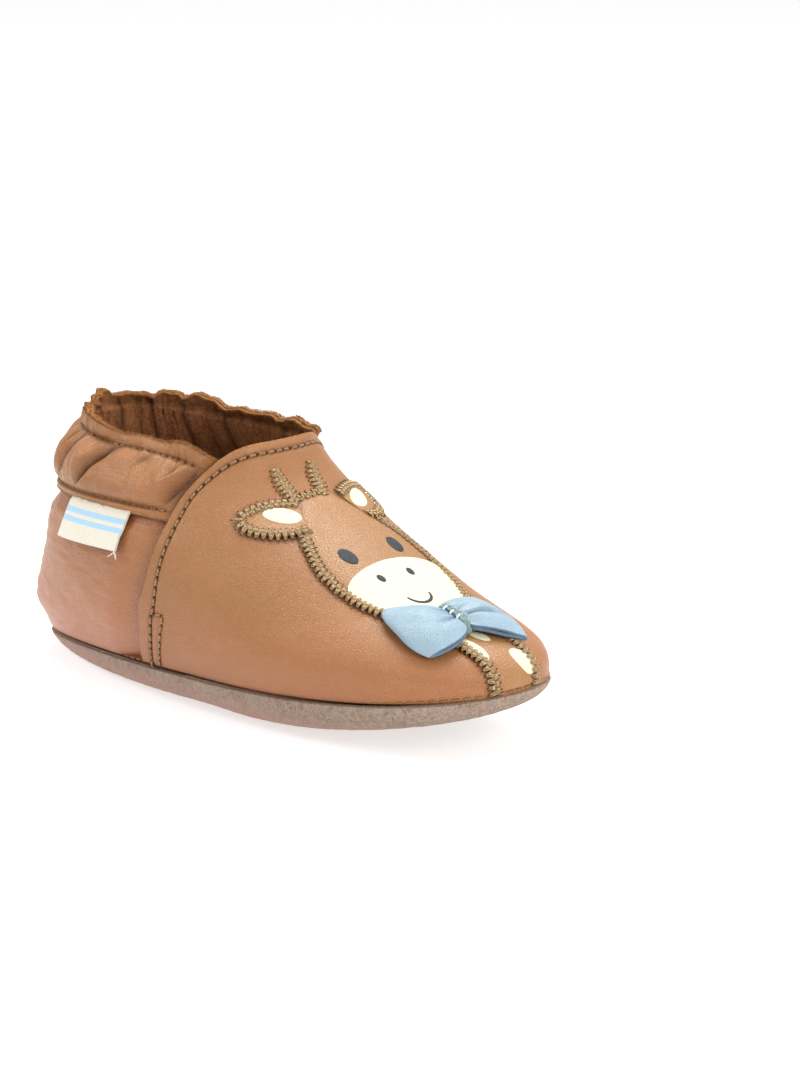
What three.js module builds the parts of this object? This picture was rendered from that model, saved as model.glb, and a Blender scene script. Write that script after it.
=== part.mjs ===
// Soft-soled leather baby bootie for a right foot, in millimetres.
// +X points to the toe, +Y to the inner (medial) side, +Z up.
// The origin is the middle of the sole's flat underside.
import * as THREE from 'three';

// ---- Driving dimensions ----------------------------------------------------

// The upper is a stack of waterlines. A level is a height above the sole seam.
const LEVELS = [0, 7, 15, 25, 36, 47, 56];
const FRONT = [69.5, 66, 46.5, 29, 12, 5, 1]; // foremost x of each waterline
const BACK = [-65.2, -66.6, -62.8, -59.5, -52.5, -49.5, -48]; // rearmost x
const HALF_WIDTH = [24.5, 28, 28.5, 27, 23, 17, 16];
const TAPER = [4.5, 3, 2.5, 1.5, 0.5, 0.5, 0]; // extra half width at the front
const SQUARENESS = [2.3, 2.3, 2.3, 2.3, 2.6, 2.7, 2.7]; // 2 is an ellipse
const SEAM_HEIGHT = 8; // sole seam above the floor at the sides
const TOE_LIFT = 6.5; // seam rise at the toe
const HEEL_LIFT = -4.6; // seam drop at the heel
const LIFT_FADE_LEVEL = 40; // the rise and drop die out at this level
const TOE_SWING = 1.5; // sideways swing of the toe to the inner side
const TOE_SWING_LENGTH = 60;

// Sole.
const SOLE_CENTRE_X = 3;
const SOLE_THICKNESS = 1.4;
const ROCKER_START = 7; // x where the underside starts to rise
const ROCKER_RISE = 9.5; // rise of the underside at the toe
const ROCKER_POWER = 1.5;
const SOLE_ROLL_SIDE = 12; // width of the rolled edge at the sides
const SOLE_ROLL_END = 11; // and at the toe and heel
const FOAM_THICKNESS = 1.5;
const INSOLE_THICKNESS = 0.8;

// Leather.
const GAP = 0.3; // clearance kept between neighbouring pieces
const LEATHER = 1.1;
const COLLAR_LEATHER = 0.9;
const LINING_THICKNESS = 0.7;
const ELASTIC_THICKNESS = 0.5;

// Vamp edge: level = VAMP_TOP (1 - (angle / VAMP_ANGLE)^VAMP_POWER).
const VAMP_ANGLE = 102; // degrees from the toe where the edge meets the sole
const VAMP_TOP = 47;
const VAMP_POWER = 3.4;
const VAMP_END = 0.97; // part of the angle that the panel spans
const VAMP_CROWDING = 0.6; // 0 spaces its columns evenly, 1 crowds them at both ends
const EDGE_STITCH_ANGLE = 98;
const EDGE_STITCH_TOP = 44.6;
const EDGE_STITCH_START = 94;
const TUCK_FADE = 9; // degrees behind the edge over which the quarter surfaces
const QUARTER_OVERLAP = 9; // degrees of quarter hidden under the vamp
const HEEL_CROWDING = 0.11; // 0 spaces the quarter's columns evenly

// Collar.
const HEM_LEVEL = 32.2;
const HEM_STITCH_LEVEL = 33.7;
const HEM_LAP = 3.4; // quarter hidden under the collar
const RIM_BACK = 49.5;
const RIM_SIDE = 47.2;
const RIM_FRONT = 41.5;
const COLLAR_FRONT_LOW = 64; // degrees from the toe, at the hem
const COLLAR_FRONT_HIGH = 41; // and at the rim
const HEM_STITCH_START = 73;
const RIM_STITCH_START = 62;
const RIM_STITCH_DROP = 4.6;

// Thread.
const THREAD_WIDTH = 0.9;
const THREAD_THICKNESS = 0.4;
const SATIN_HALF_WIDTH = 1.3;
const SATIN_THICKNESS = 0.4;
const TACK_INSET = 8; // degrees inside the vamp's edge
const TACK_TOP = 13;

// Applique, in ridge coordinates: s runs up the vamp from the toe seam, y across.
const MOTIF_LEAN_START = -2.6; // y of the motif's middle at the toe
const MOTIF_LEAN = 0.045; // its drift per millimetre of s
const APPLIQUE = 0.7;
const FILM = 0.3;
const FACE_STATIONS = [0, 16, 24, 30, 40, 50, 58, 66];
const FACE_HALF_WIDTHS = [5.2, 6.2, 8.4, 11.8, 13.6, 12.2, 9.4, 5];
const FACE_START = 1;
const FACE_ZIGZAG_END = 53;
const EAR = { s: 60.5, y: 15, rs: 5, ry: 4.9 };
const INNER_EAR = { s: 61.4, y: 12.6, rs: 2.1, ry: 3 };
const MUZZLE = { s: 34, y: 0, rs: 9, ry: 10.8 };
const EYE = { s: 46.7, y: 7, rs: 2.5, ry: 1.7 };
const NOSTRIL = { s: 39.1, y: 4.2, rs: 1.0, ry: 0.7 };
const SMILE = { s: 32.8, y: 0, rs: 2.6, ry: 3.4, halfWidth: 0.35 };
const SPOTS = [
  { s: 11.2, y: -2.9, rs: 3.4, ry: 1.2 },
  { s: 13.6, y: 0.6, rs: 1.4, ry: 1.5 },
  { s: 6.2, y: 2.0, rs: 2.6, ry: 1.6 },
];
const HORN = { low: 66.9, high: 74, yLow: 4.4, yHigh: 5.4, halfWidth: 1.6 };
const FOREHEAD_S = 67.5;

// Bow.
const BOW_S = 19;
const BOW_Y = -2; // the bow's middle, across from the motif's middle line
const BOW_HEIGHT = 2.1; // underside of the bow above the vamp
const KNOT = { halfY: 1.2, halfS: 3, bottom: 1.4, thickness: 1.8 };
const WING = {
  root: 2.4, tip: 13.2, rootHalf: 2.8, tipHalf: 8.6,
  rootThick: 1.2, midThick: 4, tipThick: 1.6,
};

// Label, on the outer side under the hem.
const LABEL_ANGLES = [-113, -87];
const LABEL_LEVELS = [23.6, 31.6];
const LABEL_THICKNESS = 0.5;
const LABEL_FLARE = 0.12; // stands off the quarter more towards its lower edge

// ---- Colours and materials -------------------------------------------------

const leather = () => new THREE.MeshStandardMaterial({ color: '#bb835a', roughness: 0.5, metalness: 0 });
const suede = (color) => new THREE.MeshStandardMaterial({ color, roughness: 0.95, metalness: 0 });
const thread = (color = '#7a5c36') => (
  new THREE.MeshStandardMaterial({ color, roughness: 0.55, metalness: 0 })
);
const film = (color) => new THREE.MeshStandardMaterial({ color, roughness: 0.6, metalness: 0 });
const CREAM = '#fbf8df';
const SLATE = '#454c54';
const BLUE = '#a9c6e0';

// ---- Small maths -----------------------------------------------------------

const radians = THREE.MathUtils.degToRad;
const clamp = THREE.MathUtils.clamp;
const lerp = THREE.MathUtils.lerp;
const fade = (x, from, to) => THREE.MathUtils.smoothstep(x, from, to);
const signedPower = (value, power) => Math.sign(value) * Math.abs(value) ** power;

// Slope of a table of values at knot i, second order where it has two neighbours.
function slope(knots, values, i) {
  const last = knots.length - 1;
  if (i === 0) return (values[1] - values[0]) / (knots[1] - knots[0]);
  if (i === last) return (values[last] - values[last - 1]) / (knots[last] - knots[last - 1]);
  const before = knots[i] - knots[i - 1];
  const after = knots[i + 1] - knots[i];
  const down = (values[i] - values[i - 1]) / before;
  const up = (values[i + 1] - values[i]) / after;
  return (down * after + up * before) / (before + after);
}

// Smooth curve through a short table, by cubic Hermite pieces.
function smoothTable(knots, values, x) {
  const at = clamp(x, knots[0], knots[knots.length - 1]);
  let i = 0;
  while (i < knots.length - 2 && at > knots[i + 1]) i += 1;
  const span = knots[i + 1] - knots[i];
  const t = (at - knots[i]) / span;
  const startSlope = slope(knots, values, i) * span;
  const endSlope = slope(knots, values, i + 1) * span;
  const rise = 3 * t * t - 2 * t * t * t;
  const startPull = t * (1 - t) * (1 - t) * startSlope;
  const endPull = t * t * (t - 1) * endSlope;
  return values[i] + rise * (values[i + 1] - values[i]) + startPull + endPull;
}

// ---- The shoe's outer skin -------------------------------------------------

// Point at an angle (degrees, 0 at the toe, +90 on the inner side) and a level.
function skin(angle, level) {
  const front = smoothTable(LEVELS, FRONT, level);
  const back = smoothTable(LEVELS, BACK, level);
  const width = smoothTable(LEVELS, HALF_WIDTH, level);
  const taper = smoothTable(LEVELS, TAPER, level);
  const power = 2 / smoothTable(LEVELS, SQUARENESS, level);
  const c = Math.cos(radians(angle));
  const s = Math.sin(radians(angle));
  const x = (front + back) / 2 + ((front - back) / 2) * signedPower(c, power);
  const swing = TOE_SWING * clamp(x / TOE_SWING_LENGTH, 0, 1.2) ** 2;
  const y = (width + taper * c) * signedPower(s, power) + swing;
  const lift = TOE_LIFT * ((1 + c) / 2) ** 3 + HEEL_LIFT * ((1 - c) / 2) ** 4;
  const z = SEAM_HEIGHT + level + lift * clamp(1 - level / LIFT_FADE_LEVEL, 0, 1);
  return new THREE.Vector3(x, y, z);
}

// How far the underside rises towards the toe.
function rocker(x) {
  const t = clamp((x - ROCKER_START) / (FRONT[0] - ROCKER_START), 0, 1);
  return ROCKER_RISE * t ** ROCKER_POWER;
}

// Underside of the sole: ratio 0 at its middle, 1 at the seam.
function soleSkin(angle, ratio) {
  const seam = skin(angle, 0);
  const centre = new THREE.Vector3(SOLE_CENTRE_X, 0, 0);
  const point = seam.clone().sub(centre).setZ(0).multiplyScalar(ratio).add(centre);
  const reach = Math.hypot(seam.x - centre.x, seam.y);
  const roll = lerp(SOLE_ROLL_END, SOLE_ROLL_SIDE, Math.sin(radians(angle)) ** 2);
  const inner = 1 - roll / reach;
  const t = clamp((ratio - inner) / (1 - inner), 0, 1);
  const wall = seam.z - GAP - rocker(seam.x);
  point.z = rocker(point.x) + wall * (1 - Math.sqrt(1 - t * t));
  return point;
}

// Point of a surface moved along its outward normal.
function offset(surface, a, b, distance, stepA = 0.5, stepB = 0.02) {
  const alongA = surface(a + stepA, b).sub(surface(a - stepA, b));
  const alongB = surface(a, b + stepB).sub(surface(a, b - stepB));
  const normal = alongA.cross(alongB);
  if (normal.length() < 1e-9) normal.set(0, 0, -1);
  return surface(a, b).addScaledVector(normal.normalize(), distance);
}

const onSkin = (angle, level, distance) => offset(skin, angle, Math.max(level, 0.03), distance);

function onSole(angle, ratio, depth) {
  if (ratio < 0.01) return new THREE.Vector3(SOLE_CENTRE_X, 0, depth);
  return offset(soleSkin, angle, Math.min(ratio, 1) - 0.001, -depth, 0.5, 0.0005);
}

// The vamp's edge, both ways round.
const edgeLevel = (angle) => VAMP_TOP * (1 - (Math.abs(angle) / VAMP_ANGLE) ** VAMP_POWER);
const edgeAngle = (level) => VAMP_ANGLE * clamp(1 - level / VAMP_TOP, 0, 1) ** (1 / VAMP_POWER);

// 1 under the vamp, fading to 0 behind its edge.
const tuck = (angle, level) => 1 - fade(Math.abs(angle) - edgeAngle(level), 2, TUCK_FADE);
const sinkUnderVamp = (angle, level) => -(LEATHER + GAP) * tuck(angle, level);
const sinkUnderCollar = (level) => -(COLLAR_LEATHER + GAP + 0.1) * fade(level, HEM_LEVEL - 6, HEM_LEVEL - 1);

// Level of the collar's rim.
function rimLevel(angle) {
  const c = Math.cos(radians(angle));
  return RIM_SIDE + ((c < 0 ? RIM_BACK : RIM_FRONT) - RIM_SIDE) * c * c;
}

// Signed angle in -180..180 from one that runs round the heel.
const wrap = (angle) => (angle > 180 ? angle - 360 : angle);

// Angle a part u of the way round the heel, closer together near the vamp's two edges.
function roundHeel(start, u) {
  const eased = u - HEEL_CROWDING * Math.sin(2 * Math.PI * u);
  return wrap(lerp(start, 360 - start, eased));
}

// ---- Ridge coordinates on the vamp -----------------------------------------

const RIDGE_STEPS = 188;
const ridge = [0];
for (let i = 1; i <= RIDGE_STEPS; i += 1) {
  const a = skin(0, (VAMP_TOP * (i - 1)) / RIDGE_STEPS);
  const b = skin(0, (VAMP_TOP * i) / RIDGE_STEPS);
  ridge.push(ridge[i - 1] + a.distanceTo(b));
}

function levelAtRidge(s) {
  let i = 1;
  while (i < RIDGE_STEPS && ridge[i] < s) i += 1;
  const part = (s - ridge[i - 1]) / (ridge[i] - ridge[i - 1]);
  return clamp((VAMP_TOP * (i - 1 + part)) / RIDGE_STEPS, 0, VAMP_TOP);
}

// Angle whose skin point lies y to the side of the middle line.
function angleAcross(level, y) {
  const width = smoothTable(LEVELS, HALF_WIDTH, level);
  const taper = smoothTable(LEVELS, TAPER, level);
  const power = smoothTable(LEVELS, SQUARENESS, level) / 2;
  let c = 1;
  let s = 0;
  for (let i = 0; i < 6; i += 1) {
    s = signedPower(clamp(y / (width + taper * c), -1, 1), power);
    c = Math.sqrt(1 - s * s);
  }
  return THREE.MathUtils.radToDeg(Math.asin(s));
}

const motifMiddle = (s) => MOTIF_LEAN_START + MOTIF_LEAN * s;

// Point at s up the ridge and y from the motif's middle line.
function onVamp(s, y, distance) {
  const level = levelAtRidge(s);
  return onSkin(angleAcross(level, y + motifMiddle(s)), level, distance);
}

// ---- Geometry: primitives bent onto the shoe -------------------------------

function bend(geometry, place) {
  const positions = geometry.getAttribute('position');
  for (let i = 0; i < positions.count; i += 1) {
    const p = place(positions.getX(i), positions.getY(i), positions.getZ(i));
    positions.setXYZ(i, p.x, p.y, p.z);
  }
  geometry.computeVertexNormals();
  return geometry;
}

// A slab: u and v run 0..1 over it, w runs 0..1 through its thickness, outwards.
function slab(columns, rows, place) {
  const box = new THREE.BoxGeometry(1, 1, 1, columns, rows, 1);
  return bend(box, (x, y, z) => place(x + 0.5, y + 0.5, z + 0.5));
}

// A body of revolution before bending: angle in degrees, then radius and height.
function turned(segments, profile, place) {
  const lathe = new THREE.LatheGeometry(profile.map(([r, h]) => new THREE.Vector2(r, h)), segments);
  return bend(lathe, (x, y, z) => {
    const angle = THREE.MathUtils.radToDeg(Math.atan2(-z, x));
    return place(Math.round(angle * 1e4) / 1e4, Math.hypot(x, z), y);
  });
}

// Profile of a round plate with a closed rim.
function plateProfile(ratios) {
  const bottom = ratios.map((r) => [r, 0]);
  const top = ratios.map((r) => [r, 1]).reverse();
  return [...bottom, ...top];
}

const RING_PROFILE = [[2, 0], [2, 1], [1, 1], [1, 0], [2, 0]];

const parts = [];

function add(name, geometry, material) {
  const mesh = new THREE.Mesh(geometry, material);
  mesh.name = name;
  parts.push(mesh);
}

const sides = [['medial', 1], ['lateral', -1]];

// ---- Sole ------------------------------------------------------------------

function outsole() {
  const ratios = [0, 0.35, 0.62, 0.74, 0.84, 0.92, 0.97, 1];
  const place = (angle, ratio, layer) => onSole(angle, ratio, layer * SOLE_THICKNESS);
  return turned(44, plateProfile(ratios), place);
}

function soleLayer(bottom, thickness, reach) {
  const ratios = [0, 0.4, 0.65, 0.78, 0.88, 1];
  return turned(36, plateProfile(ratios), (angle, ratio, layer) =>
    onSole(angle, ratio * reach, bottom + layer * thickness));
}

const foamBottom = SOLE_THICKNESS + GAP;
const insoleBottom = foamBottom + FOAM_THICKNESS + GAP;
add('outsole', outsole(), suede('#96826f'));
add('insole_foam', soleLayer(foamBottom, FOAM_THICKNESS, 0.78), suede('#e7e1d2'));
add('insole', soleLayer(insoleBottom, INSOLE_THICKNESS, 0.86), suede('#5a3b26'));

// ---- Upper -----------------------------------------------------------------

function vamp() {
  return slab(34, 12, (u, v, w) => {
    const even = 2 * u - 1;
    const part = lerp(even, Math.sin(radians(90 * even)), VAMP_CROWDING);
    const angle = part * VAMP_ANGLE * VAMP_END;
    return onSkin(angle, v ** 1.25 * edgeLevel(angle), (w - 1) * LEATHER);
  });
}

function quarter() {
  const top = HEM_LEVEL + HEM_LAP;
  return slab(28, 8, (u, v, w) => {
    const level = v * top;
    const start = edgeAngle(level) - QUARTER_OVERLAP;
    const angle = roundHeel(start, u);
    const outer = sinkUnderVamp(angle, level) + sinkUnderCollar(level);
    return onSkin(angle, level, outer + (w - 1) * LEATHER);
  });
}

// A strip of the collar between two fractions of its height.
function collarStrip(columns, rows, low, high, outer, thickness, trim = 0) {
  return slab(columns, rows, (u, v, w) => {
    const part = lerp(low, high, v);
    const start = lerp(COLLAR_FRONT_LOW, COLLAR_FRONT_HIGH, part) + trim;
    const angle = roundHeel(start, u);
    const level = lerp(HEM_LEVEL, rimLevel(angle), part);
    return onSkin(angle, level, sinkUnderVamp(angle, level) + outer + (w - 1) * thickness);
  });
}

const elasticOuter = -COLLAR_LEATHER - GAP - 0.1;
const liningOuter = elasticOuter - ELASTIC_THICKNESS - GAP;
add('vamp', vamp(), leather());
add('quarter', quarter(), leather());
add('collar', collarStrip(36, 5, 0, 1, 0, COLLAR_LEATHER), leather());
add('elastic_band', collarStrip(30, 2, 0.55, 0.85, elasticOuter, ELASTIC_THICKNESS, 2), suede('#efe9db'));
add('collar_lining', collarStrip(30, 3, 0.4, 0.97, liningOuter, LINING_THICKNESS, 1), suede('#6b452c'));

// ---- Lines of stitching ----------------------------------------------------

function soleSeamThread() {
  const deep = -2 * (LEATHER + GAP) - THREAD_THICKNESS;
  return turned(48, RING_PROFILE, (angle, r, h) =>
    onSkin(angle, 1 + h * THREAD_WIDTH, deep + (r - 1) * THREAD_THICKNESS));
}

// A strip of thread along a path of angle and level, as wide as the thread.
function threadLine(columns, path, outer) {
  return slab(columns, 1, (u, v, w) => {
    const [angle, level] = path(u);
    const across = (v - 0.5) * THREAD_WIDTH;
    return onSkin(angle, level + across, outer(angle, level) + GAP + w * THREAD_THICKNESS);
  });
}

function hemThread() {
  const path = (u) => [wrap(lerp(HEM_STITCH_START, 360 - HEM_STITCH_START, u)), HEM_STITCH_LEVEL];
  return threadLine(36, path, sinkUnderVamp);
}

function rimThread() {
  const path = (u) => {
    const angle = wrap(lerp(RIM_STITCH_START, 360 - RIM_STITCH_START, u));
    return [angle, rimLevel(angle) - RIM_STITCH_DROP];
  };
  return threadLine(36, path, sinkUnderVamp);
}

// The vamp's edge stitching, followed at an even pace and laid square to its path.
function vampEdgeThread() {
  const stitch = (angle) => EDGE_STITCH_TOP * (1 - (Math.abs(angle) / EDGE_STITCH_ANGLE) ** VAMP_POWER);
  const pace = (u) => EDGE_STITCH_START * Math.sin(radians(90 * (2 * u - 1)));
  return slab(64, 1, (u, v, w) => {
    const angle = pace(u);
    const height = GAP + w * THREAD_THICKNESS;
    const here = onSkin(angle, stitch(angle), height);
    const ahead = onSkin(angle + 0.05, stitch(angle + 0.05), height);
    const behind = onSkin(angle - 0.05, stitch(angle - 0.05), height);
    const outward = onSkin(angle, stitch(angle), height + 1).sub(here);
    const across = outward.cross(ahead.sub(behind)).normalize();
    return here.addScaledVector(across, (v - 0.5) * THREAD_WIDTH);
  });
}

function sideTack(side) {
  return slab(1, 4, (u, v, w) => {
    const level = lerp(1, TACK_TOP, v);
    const angle = side * (edgeAngle(level) - TACK_INSET) + (u - 0.5) * 2 * THREAD_WIDTH;
    return onSkin(angle, level, GAP + w * THREAD_THICKNESS);
  });
}

add('sole_seam_thread', soleSeamThread(), thread('#8c7a64'));
add('vamp_edge_thread', vampEdgeThread(), thread());
add('hem_thread', hemThread(), thread());
add('rim_thread', rimThread(), thread());
for (const [name, side] of sides) add(`side_tack_${name}`, sideTack(side), thread());

// ---- Animal face applique --------------------------------------------------

const appliqueTop = GAP + APPLIQUE;
const filmBottom = appliqueTop + GAP;
const faceHalf = (s) => smoothTable(FACE_STATIONS, FACE_HALF_WIDTHS, s);
const faceEnd = FACE_STATIONS[FACE_STATIONS.length - 1];

function face() {
  return slab(8, 24, (u, v, w) => {
    const s = lerp(FACE_START, faceEnd, v);
    return onVamp(s, (2 * u - 1) * faceHalf(s), GAP + w * APPLIQUE);
  });
}

// A flat oval laid on the vamp.
function oval({ s, y, rs, ry }, side, bottom, thickness, segments, rings) {
  const ratios = Array.from({ length: rings + 1 }, (_, i) => i / rings);
  return turned(segments, plateProfile(ratios), (angle, r, layer) => {
    const across = side * y + r * ry * Math.cos(radians(angle));
    const along = s + r * rs * Math.sin(radians(angle));
    return onVamp(along, across, bottom + layer * thickness);
  });
}

function smile() {
  return slab(10, 1, (u, v, w) => {
    const turn = radians(lerp(-150, -30, u));
    const r = 1 + ((0.5 - v) * 2 * SMILE.halfWidth) / SMILE.rs;
    const y = SMILE.y + SMILE.ry * r * Math.cos(turn);
    const s = SMILE.s + SMILE.rs * r * Math.sin(turn);
    return onVamp(s, y, filmBottom + FILM + GAP + w * FILM);
  });
}

const muzzleTop = filmBottom + FILM + GAP;
add('face', face(), leather());
add('muzzle', oval(MUZZLE, 1, filmBottom, FILM, 26, 4), film(CREAM));
add('smile', smile(), film(SLATE));
for (const [name, side] of sides) {
  add(`ear_${name}`, oval(EAR, side, GAP, APPLIQUE, 20, 3), leather());
  add(`inner_ear_${name}`, oval(INNER_EAR, side, filmBottom, FILM, 16, 2), film(CREAM));
  add(`eye_${name}`, oval(EYE, side, filmBottom, FILM, 14, 1), film(SLATE));
  add(`nostril_${name}`, oval(NOSTRIL, side, muzzleTop, FILM, 10, 1), film(SLATE));
}
SPOTS.forEach((spot, i) => add(`body_spot_${i + 1}`, oval(spot, 1, filmBottom, FILM, 14, 1), film(CREAM)));

// ---- Satin stitching -------------------------------------------------------

// Side of the face: v runs up the outline, u across it from its lower y.
function faceSatin(side) {
  return slab(1, 30, (u, v, w) => {
    const s = lerp(FACE_START + 0.5, FACE_ZIGZAG_END, v);
    const across = (2 * u - 1) * SATIN_HALF_WIDTH;
    return onVamp(s, side * faceHalf(s) + across, filmBottom + w * SATIN_THICKNESS);
  });
}

// Round the ear's free edge, from under its root, past the tip, to its top.
function earSatin(side) {
  return slab(22, 1, (u, v, w) => {
    const turn = side > 0 ? lerp(-118, 130, u) : lerp(50, 298, u);
    const reach = (lerp(1, -1, v) * SATIN_HALF_WIDTH);
    const y = side * EAR.y + (EAR.ry + reach) * Math.cos(radians(turn));
    const s = EAR.s + (EAR.rs + reach) * Math.sin(radians(turn));
    return onVamp(s, y, filmBottom + w * SATIN_THICKNESS);
  });
}

function hornSatin(side) {
  return slab(1, 5, (u, v, w) => {
    const middle = side * lerp(HORN.yLow, HORN.yHigh, v);
    const half = HORN.halfWidth * (1 - 0.35 * v);
    return onVamp(lerp(HORN.low, HORN.high, v), middle + (2 * u - 1) * half, GAP + w * SATIN_THICKNESS);
  });
}

function foreheadSatin() {
  const half = HORN.yLow - HORN.halfWidth - GAP;
  return slab(5, 1, (u, v, w) =>
    onVamp(FOREHEAD_S + (2 * v - 1) * 0.6 * SATIN_HALF_WIDTH, (2 * u - 1) * half, GAP + w * SATIN_THICKNESS));
}

for (const [name, side] of sides) {
  add(`face_satin_${name}`, faceSatin(side), thread());
  add(`ear_satin_${name}`, earSatin(side), thread());
  add(`horn_satin_${name}`, hornSatin(side), thread());
}
add('forehead_satin', foreheadSatin(), thread());

// ---- Bow and label ---------------------------------------------------------

function bowKnot() {
  return slab(4, 5, (u, v, w) => {
    const crown = KNOT.thickness * (0.6 + 0.4 * Math.sin(Math.PI * u));
    const height = KNOT.bottom + w * crown;
    return onVamp(BOW_S + (2 * v - 1) * KNOT.halfS, BOW_Y + (2 * u - 1) * KNOT.halfY, height);
  });
}

function bowTack() {
  const bottom = KNOT.bottom + KNOT.thickness + GAP;
  return slab(1, 6, (u, v, w) =>
    onVamp(BOW_S + (2 * v - 1) * (KNOT.halfS + 0.3), BOW_Y + (2 * u - 1) * 0.5, bottom + w * 0.6));
}

function bowWing(side) {
  return slab(9, 8, (u, v, w) => {
    const out = side > 0 ? u : 1 - u;
    const half = lerp(WING.rootHalf, WING.tipHalf, out ** 0.8);
    const ends = lerp(WING.rootThick, WING.tipThick, out);
    const crown = Math.sin(Math.PI * out) * Math.sin(Math.PI * v);
    const thick = ends + (WING.midThick - ends) * crown;
    const y = BOW_Y + side * lerp(WING.root, WING.tip, out);
    return onVamp(BOW_S + (2 * v - 1) * half, y, BOW_HEIGHT + w * thick);
  });
}

function label() {
  return slab(8, 4, (u, v, w) => {
    const level = lerp(LABEL_LEVELS[0], LABEL_LEVELS[1], v);
    const flare = LABEL_FLARE * (LABEL_LEVELS[1] - level);
    return onSkin(lerp(LABEL_ANGLES[0], LABEL_ANGLES[1], u), level, GAP + flare + w * LABEL_THICKNESS);
  });
}

add('bow_knot', bowKnot(), leather());
add('bow_tack', bowTack(), thread('#7f9595'));
for (const [name, side] of sides) add(`bow_wing_${name}`, bowWing(side), film(BLUE));
add('label', label(), film('#efe9d8'));

const bootie = new THREE.Group();
bootie.add(...parts);

export default bootie;
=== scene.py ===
# Baby bootie for a right foot: the finished look of the soft leather shoe, built round its CAD frame.
# Lengths here are in millimetres and become metres when a mesh is made. Angles are in degrees.
import math

import bpy
import numpy as np
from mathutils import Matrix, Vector
from mathutils.kdtree import KDTree


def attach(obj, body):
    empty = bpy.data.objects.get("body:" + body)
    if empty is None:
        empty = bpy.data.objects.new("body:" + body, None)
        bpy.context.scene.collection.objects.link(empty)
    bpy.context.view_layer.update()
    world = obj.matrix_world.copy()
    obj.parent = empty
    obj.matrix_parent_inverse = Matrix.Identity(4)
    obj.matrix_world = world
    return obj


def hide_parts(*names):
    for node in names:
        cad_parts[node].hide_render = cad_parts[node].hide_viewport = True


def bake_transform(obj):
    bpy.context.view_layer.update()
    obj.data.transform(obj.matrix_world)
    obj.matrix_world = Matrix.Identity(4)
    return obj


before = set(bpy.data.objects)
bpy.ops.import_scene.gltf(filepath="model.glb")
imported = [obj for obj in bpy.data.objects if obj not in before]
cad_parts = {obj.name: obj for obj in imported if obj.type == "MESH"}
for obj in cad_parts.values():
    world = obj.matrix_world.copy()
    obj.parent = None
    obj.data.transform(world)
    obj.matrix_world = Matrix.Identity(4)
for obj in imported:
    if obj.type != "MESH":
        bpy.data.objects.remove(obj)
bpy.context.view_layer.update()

MM = 0.001

# ---- Driving dimensions, the same as the CAD part's ----

LEVELS = (0, 7, 15, 25, 36, 47, 56)
FRONT = (69.5, 66, 46.5, 29, 12, 5, 1)
BACK = (-65.2, -66.6, -62.8, -59.5, -52.5, -49.5, -48)
HALF_WIDTH = (24.5, 28, 28.5, 27, 23, 17, 16)
TAPER = (4.5, 3, 2.5, 1.5, 0.5, 0.5, 0)
SQUARENESS = (2.3, 2.3, 2.3, 2.3, 2.6, 2.7, 2.7)
SEAM_HEIGHT = 8
TOE_LIFT = 6.5
HEEL_LIFT = -4.6
LIFT_FADE_LEVEL = 40
TOE_SWING = 1.5
TOE_SWING_LENGTH = 60

SOLE_CENTRE_X = 3
SOLE_THICKNESS = 1.4
ROCKER_START = 7
ROCKER_RISE = 9.5
ROCKER_POWER = 1.5
SOLE_ROLL_SIDE = 12
SOLE_ROLL_END = 11
GAP = 0.3
FOAM_THICKNESS = 1.5
FOAM_REACH = 0.78

VAMP_ANGLE = 102
VAMP_TOP = 47
VAMP_POWER = 3.4
EDGE_STITCH_ANGLE = 99.4
EDGE_STITCH_TOP = 45.3
SIDE_TACK_TOP = 13
SIDE_TACK_INSET = 4.7
SIDE_TACK_END = 3.1
QUARTER_OVERLAP = 9
TUCK_FADE = 9

HEM_LEVEL = 32.2
RIM_BACK = 49.5
RIM_SIDE = 47.2
RIM_FRONT = 41.5
COLLAR_FRONT_LOW = 64
COLLAR_FRONT_HIGH = 41

MOTIF_LEAN_START = -2.6
MOTIF_LEAN = 0.045
FACE_STATIONS = (0, 16, 24, 30, 40, 50, 58, 66)
FACE_HALF_WIDTHS = (5.2, 6.2, 8.4, 11.8, 13.6, 12.2, 9.4, 5)
FACE_TOP = 66.5

# ---- Dimensions of the finished look ----

SIDES = ((1, "medial"), (-1, "lateral"))
LOWEST = 0.03  # level at which the upper starts, just above the seam
LEATHER = 1.1
UNDER_VAMP = LEATHER + 0.25
VAMP_WAVE = 0.22
SEAM_TUCK = 0.5
STITCH_PITCH = 2.15
STITCH_LENGTH = 1.6
THREAD_RADIUS = 0.26
HOLE_RADIUS = 0.25
GROOVE_DEPTH = 0.3
GROOVE_WIDTH = 0.55
PIT_DEPTH = 0.3
PIT_WIDTH = 0.4
STITCH_STEPS = 9
EDGE_STEPS = 4  # facets across a rounded cut edge

INSOLE_REACH = 0.955
INSOLE_THICKNESS = 0.9

COLLAR_LEATHER = 0.9
COLLAR_PUFF = 2.9
HEM_STITCH_RISE = 1.7
RIM_STITCH_DROP = 3.1
RUFFLE_FLARE = 1.0
COLLAR_STITCH_PITCH = 1.9
COLLAR_COLUMNS = 1100
COLLAR_ROWS = 150
LINING_DEPTH = 2.6
LINING_THICKNESS = 0.8
ELASTIC_HALF = 2.0
ELASTIC_DEPTHS = (1.05, 1.35)
FIBRE_PROFILE = ((-0.15, 0.035, 0.0), (0.5, 0.03, 0.3), (1.0, 0.01, 1.0))  # how far, thickness, bend
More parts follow.
